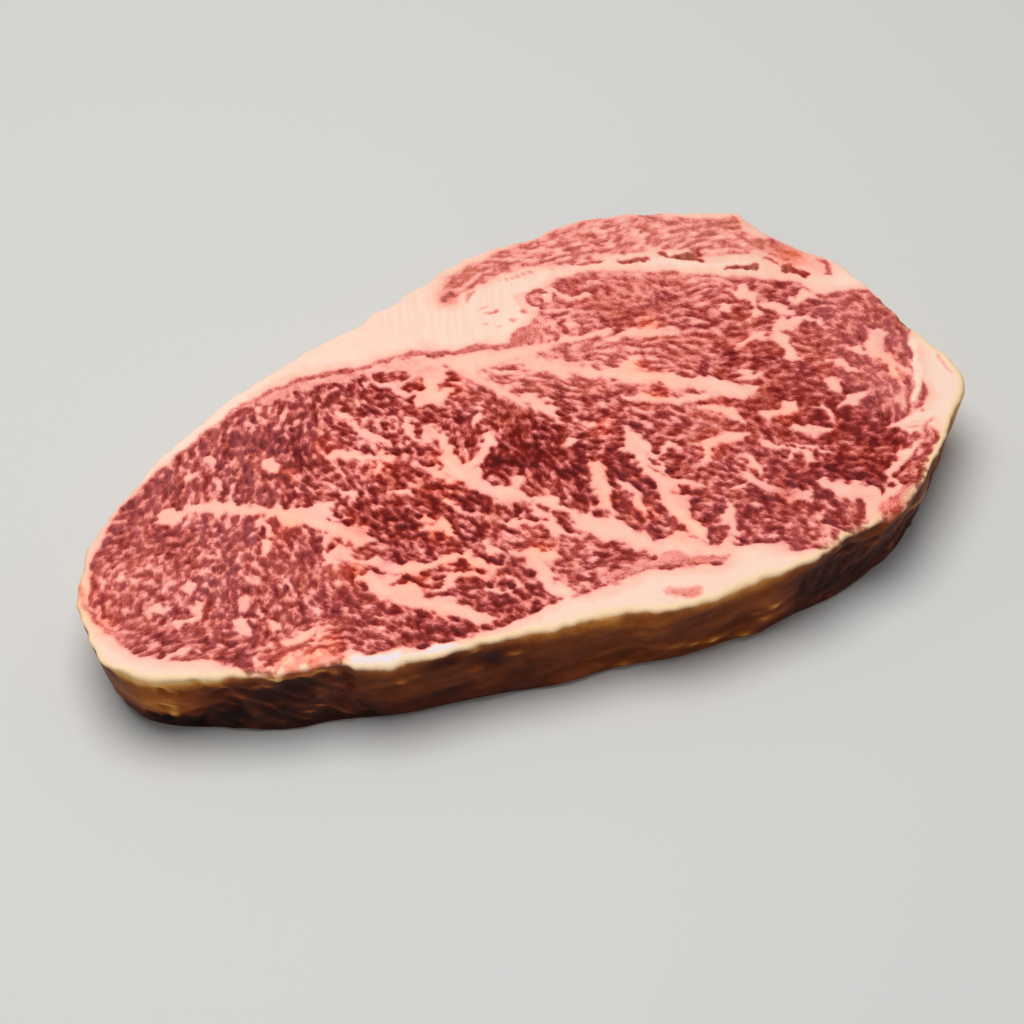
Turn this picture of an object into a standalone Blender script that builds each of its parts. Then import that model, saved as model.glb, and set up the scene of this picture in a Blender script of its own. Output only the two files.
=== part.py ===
"""Raw ribeye steak: one thick boneless slice of beef, lying flat on a cut face.

The slice is a loft. Its section is the outline of the cut face, which is broad, irregular and
much longer than it is wide. The side leans in a little towards the resting face, more at the two
ends than along the long sides, and both cut faces meet it in a rounded edge.

Frame: +X runs along the slice towards its blunt end, +Y towards the side with the fat cap, and
+Z up. The origin is on the resting face, under the middle of the slice.
"""

import math

import bmesh
import bpy
from mathutils import Vector

MM = 0.001

OBJECT_NAME = "ribeye_steak"
NODE_NAME = "steak"

# Driving dimensions
LENGTH = 270.0 * MM
WIDTH = 153.0 * MM
THICKNESS = 28.0 * MM

# Rounding of the two cut edges
TOP_EDGE_RADIUS = 1.3 * MM
BASE_EDGE_RADIUS = 2.0 * MM
EDGE_STEPS = 3

# How far the foot of the side stands in from the top edge, by the way the side faces
LEAN_BACK = 1.8 * MM
LEAN_FRONT = 2.2 * MM
LEAN_NARROW_END = 4.6 * MM
LEAN_BLUNT_END = 1.6 * MM
LEAN_CURVE = 1.6
SIDE_STEPS = 5

# Where the foot of the front side swells back out: place along the length, reach and amount
FOOT_SWELLS = [
    (-89 * MM, 14 * MM, 3.4 * MM),
    (-14 * MM, 17 * MM, 2.4 * MM),
    (45 * MM, 6 * MM, 1.3 * MM),
    (72 * MM, 9 * MM, 1.2 * MM),
]

# Detail of the outline: points between two of its knots, and over how many points its facing is
# measured and its small corners fade towards the foot
OUTLINE_RESOLUTION = 4
FACING_REACH = 5
SOFTENING_REACH = 4

# Colour of well-marbled raw beef, seen from far enough for lean and fat to mix
MEAT_COLOUR = (0.52, 0.13, 0.11, 1.0)
MEAT_ROUGHNESS = 0.42

# Knots of the cut face's outline, in millimetres, clockwise from above
NARROW_END = [(-135.2, -23), (-134, -7), (-129, 5), (-120, 16.6)]
CHUCK_SIDE = [(-106, 27.2), (-90, 37), (-70, 47.3), (-50, 55), (-30, 60.2), (-10, 66.7)]
FAT_CAP_SIDE = [(0, 69.4), (10, 73.2), (24, 75.6), (42, 75), (60, 75.7), (72, 72.9), (86, 67.6)]
CAP_CORNER = [(100, 61.3), (106.2, 58.5), (106.8, 55), (110.2, 47), (115.6, 36), (120.6, 30.8)]
BLUNT_END = [(126, 20), (129.4, 4), (132.4, -10), (135, -23), (134, -34), (124, -45), (112, -56)]
BELLY_CORNER = [(100, -66.6), (87, -71.6), (74, -73.5), (66, -75.2)]
BELLY_SIDE = [(55, -77), (38, -76.7), (24, -77.2), (12, -75.4), (4, -71.4), (-12, -69.8), (-30, -66.7)]
NARROW_SIDE = [(-43, -65.8), (-60, -62.9), (-71, -59.8), (-77, -55.7), (-92, -52), (-110, -45.7)]
NARROW_CORNER = [(-124, -40), (-132, -32.6)]
OUTLINE_KNOTS = (
    NARROW_END + CHUCK_SIDE + FAT_CAP_SIDE + CAP_CORNER + BLUNT_END
    + BELLY_CORNER + BELLY_SIDE + NARROW_SIDE + NARROW_CORNER
)


def clear_scene():
    for item in list(bpy.data.objects):
        bpy.data.objects.remove(item, do_unlink=True)


def smooth_outline():
    """The cut face's outline: a closed smooth curve through the knots, read off as points."""
    curve = bpy.data.curves.new("outline", "CURVE")
    curve.dimensions = "2D"
    curve.fill_mode = "NONE"
    curve.resolution_u = OUTLINE_RESOLUTION
    spline = curve.splines.new("BEZIER")
    spline.bezier_points.add(len(OUTLINE_KNOTS) - 1)
    for point, (x, y) in zip(spline.bezier_points, OUTLINE_KNOTS):
        point.co = (x, y, 0.0)
        point.handle_left_type = "AUTO"
        point.handle_right_type = "AUTO"
    spline.use_cyclic_u = True

    holder = bpy.data.objects.new("outline", curve)
    bpy.context.scene.collection.objects.link(holder)
    bpy.context.view_layer.update()
    depsgraph = bpy.context.evaluated_depsgraph_get()
    wire = bpy.data.meshes.new_from_object(holder.evaluated_get(depsgraph))
    points = [Vector((vertex.co.x, vertex.co.y)) for vertex in wire.vertices]
    bpy.data.meshes.remove(wire)
    bpy.data.objects.remove(holder, do_unlink=True)
    return points


def fit_to_size(points):
    """Centres the outline and stretches it to the slice's length and width."""
    xs = [point.x for point in points]
    ys = [point.y for point in points]
    middle = Vector(((max(xs) + min(xs)) / 2, (max(ys) + min(ys)) / 2))
    scale_x = LENGTH / (max(xs) - min(xs))
    scale_y = WIDTH / (max(ys) - min(ys))
    return [
        Vector(((point.x - middle.x) * scale_x, (point.y - middle.y) * scale_y)) for point in points
    ]


def outward_facings(points):
    """The way that the side faces at each point, averaged so that small corners don't fold."""
    count = len(points)
    facings = []
    for i in range(count):
        along = points[(i + FACING_REACH) % count] - points[i - FACING_REACH]
        facings.append(Vector((-along.y, along.x)).normalized())
    return facings


def softened(points):
    """The outline with its small corners averaged away, which the foot of the side follows."""
    count = len(points)
    reach = range(-SOFTENING_REACH, SOFTENING_REACH + 1)
    averages = []
    for i in range(count):
        total = sum((points[(i + step) % count] for step in reach), Vector((0, 0)))
        averages.append(total / len(reach))
    return averages


def lean_at(point, facing):
    """How far the foot of the side stands in at a point of the outline that faces this way."""
    long_side = LEAN_BACK + (LEAN_FRONT - LEAN_BACK) * (1 - facing.y) / 2
    end_lean = LEAN_BLUNT_END if facing.x > 0 else LEAN_NARROW_END
    lean = long_side + (end_lean - long_side) * facing.x**2
    if facing.y < 0:
        for place, reach, amount in FOOT_SWELLS:
            lean -= amount * facing.y**2 * math.exp(-(((point.x - place) / reach) ** 2))
    return lean


def side_profile(lean):
    """The side's profile from the resting face up: pairs of inset and height.

    A negative lean is a foot that stands out past the top edge.
    """
    profile = []
    for step in range(EDGE_STEPS):
        angle = math.radians(90) * (1 - step / EDGE_STEPS)
        inset = lean + BASE_EDGE_RADIUS * (1 - math.cos(angle))
        profile.append((inset, BASE_EDGE_RADIUS * (1 - math.sin(angle))))
    foot = BASE_EDGE_RADIUS
    shoulder = THICKNESS - TOP_EDGE_RADIUS
    for step in range(SIDE_STEPS + 1):
        rise = step / SIDE_STEPS
        profile.append((lean * (1 - rise) ** LEAN_CURVE, foot + (shoulder - foot) * rise))
    for step in range(1, EDGE_STEPS + 1):
        angle = math.radians(90) * step / EDGE_STEPS
        inset = TOP_EDGE_RADIUS * (1 - math.cos(angle))
        profile.append((inset, shoulder + TOP_EDGE_RADIUS * math.sin(angle)))
    return profile


def loft_slice(points):
    """Joins the rings of the side, one for each level of its profile, and closes both faces."""
    facings = outward_facings(points)
    foot_points = softened(points)
    shoulder = THICKNESS - TOP_EDGE_RADIUS
    profiles = [side_profile(lean_at(*pair)) for pair in zip(points, facings)]
    mesh = bmesh.new()
    rings = []
    for level in range(len(profiles[0])):
        ring = []
        for point, foot_point, facing, profile in zip(points, foot_points, facings, profiles):
            inset, height = profile[level]
            place = foot_point.lerp(point, min(1.0, height / shoulder)) - facing * inset
            ring.append(mesh.verts.new((place.x, place.y, height)))
        rings.append(ring)

    count = len(points)
    for lower, upper in zip(rings, rings[1:]):
        for i in range(count):
            j = (i + 1) % count
            mesh.faces.new((lower[i], upper[i], upper[j], lower[j]))
    mesh.faces.new(rings[0])
    mesh.faces.new(reversed(rings[-1]))
    bmesh.ops.recalc_face_normals(mesh, faces=mesh.faces)
    return mesh


def meat_material():
    material = bpy.data.materials.new("raw_beef")
    material.use_nodes = True
    shader = material.node_tree.nodes["Principled BSDF"]
    shader.inputs["Base Color"].default_value = MEAT_COLOUR
    shader.inputs["Roughness"].default_value = MEAT_ROUGHNESS
    shader.inputs["Metallic"].default_value = 0.0
    return material


def make_steak(collection):
    outline = fit_to_size(smooth_outline())
    solid = loft_slice(outline)
    mesh = bpy.data.meshes.new(NODE_NAME)
    solid.to_mesh(mesh)
    solid.free()
    mesh.materials.append(meat_material())
    mesh.shade_smooth()
    mesh.set_sharp_from_angle(angle=math.radians(40))
    steak = bpy.data.objects.new(NODE_NAME, mesh)
    collection.objects.link(steak)
    return steak


def main():
    clear_scene()
    collection = bpy.data.collections.new(OBJECT_NAME)
    bpy.context.scene.collection.children.link(collection)
    make_steak(collection)


main()
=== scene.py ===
"""Looks of the raw ribeye steak: marbled cut faces, a fat cap, a trimmed side and a moist surface.

One closed mesh replaces the plain CAD slice. Its outline and side are read from the CAD node, its
cut faces get a fine grid, and the marbling is worked out as smooth fields that move the surface a
little and drive the colours of a node-based material. Lengths in the marbling are millimetres.
"""
import math

import bpy
import numpy as np
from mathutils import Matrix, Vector
from mathutils.bvhtree import BVHTree
from mathutils.geometry import delaunay_2d_cdt


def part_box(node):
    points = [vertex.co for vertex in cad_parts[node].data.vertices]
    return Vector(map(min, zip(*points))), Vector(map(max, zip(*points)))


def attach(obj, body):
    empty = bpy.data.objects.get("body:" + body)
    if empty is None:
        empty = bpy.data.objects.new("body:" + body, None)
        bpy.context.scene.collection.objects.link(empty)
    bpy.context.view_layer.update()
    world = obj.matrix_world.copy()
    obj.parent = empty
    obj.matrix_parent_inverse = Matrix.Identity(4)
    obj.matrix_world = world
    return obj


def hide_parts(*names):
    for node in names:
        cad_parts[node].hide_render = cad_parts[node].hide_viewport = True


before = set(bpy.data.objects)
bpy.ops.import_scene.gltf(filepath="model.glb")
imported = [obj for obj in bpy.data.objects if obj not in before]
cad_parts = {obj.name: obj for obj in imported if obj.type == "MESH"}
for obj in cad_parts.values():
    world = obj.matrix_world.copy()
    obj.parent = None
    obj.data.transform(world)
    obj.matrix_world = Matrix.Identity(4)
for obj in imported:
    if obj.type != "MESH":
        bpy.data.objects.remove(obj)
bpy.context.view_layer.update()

MM = 0.001
PIECE_NAME = "marbled_slice"
CAD_NODE = "steak"
low_corner, high_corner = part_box(CAD_NODE)
THICKNESS = (high_corner.z - low_corner.z) / MM

# Fineness of the mesh, in mm and counts
RIM_POINTS = 760
TOP_SPACING = 0.715
BASE_SPACING = 2.0
EDGE_DEPTHS = [0.03, 0.25, 0.7, 1.3, 2.1]
SIDE_STEPS = 20
FOOT_HEIGHTS = [2.0, 1.2, 0.6, 0.2, 0.03]
RIM_RAYS = 4000
RIM_SMOOTHING = 3
CAST_DEPTH = 15.0

# Samples of the marbling: pitch in mm, and the part of the face that they cover
PITCH = 0.35
FACE_REACH_X = 140.0
FACE_REACH_Y = 82.0
SIDE_REACH = 60.0
GRAIN_DIRECTIONS = 12

# Flecks of fat: size across the grain and along it in mm, seed, rounds of sharpening and their gain,
# width of the band of sizes, share in the netted pattern and share in the streaked one
FLECKS = [
    (1.45, 2.10, 101, 2, 1.3, 2.0, 0.16, 0.12),
    (0.80, 1.30, 102, 3, 1.5, 1.8, 0.58, 0.35),
    (0.46, 0.80, 103, 3, 1.4, 1.8, 0.90, 0.45),
    (0.46, 1.80, 105, 3, 1.4, 1.8, 0.00, 0.95),
    (0.25, 0.45, 104, 2, 1.2, 1.8, 0.52, 0.42),
]
# Bundles that fine fat runs round: spacing in mm, seed, amounts and sizes of wander and their seed,
# size of the places where the fat is plenty, their seed, how sharp they are, how much extra fat
# adds, the fat's width in mm and its growth, and shares in the netted pattern and in the tone
BUNDLES = [
    (5.6, 61, [(0.8, 5), (0.45, 1.9)], 51, 6, 81, 0.9, 0.8, 0.30, 0.35, 0.75, 0.9),
    (2.9, 62, [(0.6, 4), (0.34, 1.4)], 55, 4, 83, 1.0, 0.6, 0.20, 0.18, 1.05, 0.5),
]

# How the grain lies over the face. Place, direction in degrees, stretch of the flecks along it,
# extra fat, darkness, and sheen and tan: a painted grey sheen above 0, the lean's own tan below it
GRAIN = [
    # Narrow end
    (-122, -3, 50, 2.2, -0.10, 0.0, 0.55), (-117, -27, 5, 2.3, 0.15, 0.0, 0.45),
    (-113, 11, 46, 2.3, -0.05, 0.0, 0.6), (-113, -10, 24, 2.15, 0.0, 0.0, 0.5),
    (-102, 0, 32, 2.0, 0.0, 0.0, 0.6), (-102, -15, 60, 1.8, 0.0, 0.0, 0.5),
    (-100, -40, -30, 2.0, 0.25, 0.0, 0.4), (-103, 20, 36, 2.3, -0.10, 0.1, 0.7),
    (-90, 22, 48, 2.2, -0.10, 0.15, 0.8), (-91, -2, 50, 2.0, -0.10, 0.1, 0.7),
    (-90, -20, 76, 2.0, 0.0, 0.1, 0.7), (-84, -47, -5, 2.4, 0.55, 0.0, 0.2),
    (-89, -36, 60, 1.8, 0.1, 0.0, 0.4),
    # Upper left
    (-79, 34, 40, 2.2, -0.3, 0.35, 0.8), (-66, 33, 68, 2.2, -0.3, 0.45, 0.7),
    (-78, 20, 50, 2.1, -0.35, 0.4, 0.8), (-66, 18, 78, 2.1, -0.35, 0.45, 0.5),
    (-54, 33, 68, 2.0, -0.2, 0.3, 0.4), (-56, 16, 72, 1.9, -0.2, 0.3, 0.2),
    (-43, 30, -85, 1.9, 0.0, 0.2, 0.2), (-30, 27, -70, 1.8, 0.05, 0.1, 0.1),
    (-44, 10, -55, 1.9, 0.0, 0.1, 0.0), (-17, 32, -40, 1.8, 0.0, 0.1, 0.0),
    # Lower left
    (-77, -12, 77, 2.15, -0.2, 0.2, 0.6), (-68, -25, -75, 2.2, -0.2, 0.2, 0.4),
    (-66, -46, -37, 2.1, 0.05, 0.1, 0.3), (-54, -2, -75, 1.9, 0.05, 0.1, 0.0),
    (-53, -18, -46, 2.3, 0.0, 0.2, 0.0), (-54, -40, -49, 2.3, 0.05, 0.1, 0.0),
    (-42, -3, -50, 2.1, 0.05, 0.1, 0.0), (-42, -21, -60, 2.15, 0.0, 0.2, 0.0),
    (-42, -38, -38, 2.1, 0.05, 0.1, 0.0), (-45, -51, -57, 2.2, 0.0, 0.1, 0.15),
    (-30, 8, -64, 2.1, 0.05, 0.0, 0.0), (-30, -8, -55, 2.3, 0.1, 0.0, 0.0),
    (-30, -32, -55, 2.2, 0.05, 0.1, 0.0), (-30, -50, -64, 2.0, 0.0, 0.1, 0.15),
    (-18, -50, -56, 2.1, 0.0, 0.1, 0.15),
    # Middle
    (-16, -20, -55, 2.2, 0.05, 0.1, 0.0), (-8, -37, -43, 2.4, 0.05, 0.1, 0.0),
    (-6, -26, -56, 2.2, 0.05, 0.1, 0.0), (-8, 10, 72, 2.0, 0.1, 0.0, 0.0),
    (-8, 22, -58, 1.9, 0.1, 0.0, 0.0), (5, 10, 88, 2.2, -0.7, 0.8, 0.0),
    (4, -2, -72, 2.1, -0.75, 1.0, 0.0), (8, -14, -48, 2.3, -0.75, 1.0, 0.1),
    (10, -50, -43, 2.2, 0.2, 0.0, 0.1), (7, 22, -62, 2.5, 0.65, -0.5, -0.3),
    (18, 20, -36, 2.7, 0.65, -0.5, -0.3), (19, 9, -42, 2.3, 0.1, -0.1, 0.0),
    (18, -3, -40, 2.0, -0.3, 0.4, 0.0), (17, -31, -82, 2.4, -0.2, 0.4, 0.1),
    (7, -31, -57, 2.4, -0.1, 0.3, 0.1), (29, -38, -67, 2.3, -0.1, 0.3, 0.3),
    (30, -50, -48, 2.2, -0.1, 0.3, 0.3), (31, 5, -23, 2.7, 0.15, 0.0, 0.0),
    (30, -13, -25, 2.1, 0.0, 0.1, 0.1), (29, 37, 65, 2.2, 0.4, -0.2, 0.0),
    # Large muscle
    (42, -14, -50, 2.2, 0.0, 0.1, 0.1), (43, -1, -26, 2.6, 0.15, 0.0, 0.0),
    (42, 42, -25, 2.0, 0.0, 0.0, 0.1), (55, 47, -25, 2.1, 0.0, 0.0, 0.1),
    (45, 20, -28, 2.6, 0.3, -0.2, 0.0), (47, -49, -66, 2.2, -0.15, 0.2, 0.45),
    (54, -62, -40, 2.1, 0.0, 0.1, 0.3), (55, -16, -41, 2.4, 0.0, 0.1, 0.1),
    (42, -34, -34, 2.1, 0.0, 0.1, 0.1), (55, -33, -50, 1.9, 0.0, 0.1, 0.0),
    (62, 42, -34, 2.2, 0.1, 0.0, 0.1), (58, 30, -34, 2.2, 0.1, -0.1, 0.0),
    (65, 16, -22, 2.6, 0.3, -0.2, 0.0), (78, 20, -28, 2.6, 0.2, -0.1, 0.0),
    (68, -25, -46, 2.3, 0.0, 0.1, 0.0), (66, -41, -64, 2.2, 0.0, 0.1, 0.1),
    (79, -38, -46, 2.1, -0.2, 0.3, 0.0), (74, 4, -25, 2.4, 0.0, 0.0, 0.0),
    (65, -53, -62, 2.2, 0.05, 0.1, 0.4), (78, -60, -82, 1.9, 0.15, 0.1, 0.4),
    (82, 35, -33, 2.5, 0.1, 0.0, 0.0), (90, -10, -27, 2.2, -0.1, 0.2, 0.0),
    (92, -32, -28, 2.0, -0.5, 0.5, 0.1), (92, -46, -34, 1.8, -0.5, 0.5, 0.1),
    # Blunt end
    (96, 22, -30, 2.2, 0.1, 0.0, 0.2), (100, 8, -20, 2.3, -0.1, 0.2, 0.1),
    (104, -10, -44, 2.1, -0.1, 0.2, 0.1), (101, -56, 50, 1.9, 0.35, -0.1, 0.0),
    (113, 11, -26, 2.1, 0.0, 0.0, 0.9), (114, -4, 85, 2.0, 0.1, -0.1, 1.4),
    (114, -22, 87, 2.4, 0.2, -0.2, 1.6), (123, 8, -70, 2.1, -0.1, 0.2, 0.3),
    (113, -40, 42, 2.1, 0.5, -0.2, 0.4),
    # Muscle in the fat cap
    (18, 68, 10, 2.5, 0.65, -0.5, -0.5), (8, 58, 22, 2.4, 0.65, -0.5, -0.5),
    (40, 66, -2, 2.7, 0.55, -0.5, -0.4), (58, 64, -6, 2.5, 0.55, -0.5, -0.5),
    (69, 60, -14, 2.5, 0.55, -0.5, -0.6), (82, 56, -20, 2.6, 0.6, -0.5, -0.8),
    (96, 51, -26, 2.7, 0.75, -0.6, -1.0), (108, 40, -50, 2.6, 0.7, -0.4, -1.0),
]
GRAIN_REACH = 8.0
# The painted sheen and the tan are streaked at this angle, by the knife
SCRATCH_ANGLE = math.radians(72)

# How strong the marbling is by place, and how much fatter the place looks
CONTRAST = [
    (-114, -12, 0.86, 0.15), (-100, 10, 0.92, 0.10), (-70, 25, 1.00, 0.12), (-78, -32, 0.98, 0.12),
    (-40, -42, 1.12, -0.28), (-38, 20, 1.05, -0.22), (-10, 0, 1.05, -0.10), (10, -8, 1.12, -0.08),
    (8, 22, 0.82, -0.20), (0, -45, 0.95, 0.00), (30, -30, 1.00, -0.05), (30, 37, 0.50, 0.30),
    (57, 34, 0.54, 0.42), (57, 4, 0.80, 0.30), (92, 12, 0.72, 0.33), (75, -25, 0.64, -0.05),
    (60, -55, 0.95, 0.00), (92, -40, 0.88, -0.45), (114, -12, 0.55, 0.15), (35, 65, 0.66, 0.22),
    (72, 62, 0.66, 0.24), (95, 52, 0.60, 0.24), (108, 38, 0.60, 0.20),
]
CONTRAST_REACH = 12.0

# Places that look fatter or leaner than what lies round them: place, reach, amount
PATCHES = [
    (-75, 38, 7, 1.0), (-90, 33, 7, 0.8), (-64, 42, 6, 0.9), (-38, -14, 7, -0.7),
    (-56, -2, 4, 0.9), (-84, -50, 7, 0.9), (106, -53, 6, 1.1), (112, -38, 6, 0.6),
    (112, 35, 8, -3.2), (119, 26, 5, -1.6), (106, 47, 7, -0.4), (23, -4, 6, 0.9),
    (56, 72, 6, -0.5), (-118, -10, 7, -0.3), (12, 55, 12, 0.2),
    (-8, -57, 6, 0.8), (104, -18, 6, -0.5), (30, 8, 7, 0.5), (9, -50, 5, -0.7),
    (66, 37, 7, 0.5), (47, 39, 7, 0.5), (113, -47, 5, 1.4), (47, -6, 5, -0.9), (63, -50, 5, -0.8),
    (-52, -13, 5, -1.0), (34, 37, 5, 0.5), (113, -26, 7, 0.4), (113, 9, 6, 0.35), (-105, 21, 7, 0.2),
    (69, -70, 5, 0.9), (-21, -23, 5, -0.8), (6, -26, 4, 1.2), (39, -41, 5, -0.7), (-48, 3, 4, 0.7),
    (-39, -6, 5, 0.6), (-4, 3, 4, 0.6), (-60, 5, 4, 0.6), (86, -19, 5, 0.5), (105, 46, 5, 0.5),
    (103, 57, 3, -0.8), (50, 31, 5, -0.6), (-82, 20, 5, 0.5), (-19.6, 37.4, 3.4, 0.4),
    (-15, 31, 2.8, 0.1), (-5.6, 30, 3.2, -0.5), (-96, -43, 4, 0.9), (-60, -52, 6, 0.7),
    (4, -43, 4, 0.6), (54, -17, 4, -0.6), (30, 21, 3, -0.7), (45, 37, 4, 0.4), (9, 4, 4, 0.6),
    (-64, -24, 3, 0.9), (-43, 9, 3.4, 0.9), (66, -51, 4, -1.0), (110, 42, 4, -0.7),
    (60, 18, 4, -0.6), (71, 15, 4, -0.6), (-10.5, -23.5, 3, -1.3), (88, -6, 6, 0.5),
    (-14, -1, 2.5, 1.2), (-2, -20, 2.5, 0.8), (-51, -28, 2, -0.8), (107, 52, 3, -0.8),
    (112, -35, 4, 0.5), (87, -20, 4, 0.3), (-60, 4, 3, 0.4), (-14, -42, 2.5, -0.7), (124, 1, 3, -0.5),
    (2, -32, 2.5, -0.6), (-77, -7, 2.5, 0.5), (100, 50, 4, 0.8), (60, 65, 3, -0.8), (30, 66, 3, 0.4),
    (110, 40, 3, -0.8), (-20, 38, 3, 0.3), (6, 26, 2.5, 0.6), (-30, 3, 2.5, 0.6), (84, 14, 3, 0.5),
    (-8, -3, 2.5, 0.4), (-54, -31, 2.5, -0.6), (-25, -44, 2.5, -0.6), (56, -35, 2.5, -0.6),
    (28, 39, 3, 0.6), (-21, -11, 3, 0.7), (-113, 0, 4, -0.5), (-24, 38, 2.5, 0.8),
    (44, -32, 3, -0.6), (-94, 9, 2.5, 0.8), (-76, -27, 3, -0.5), (-21, 14, 3, -0.6),
]

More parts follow.
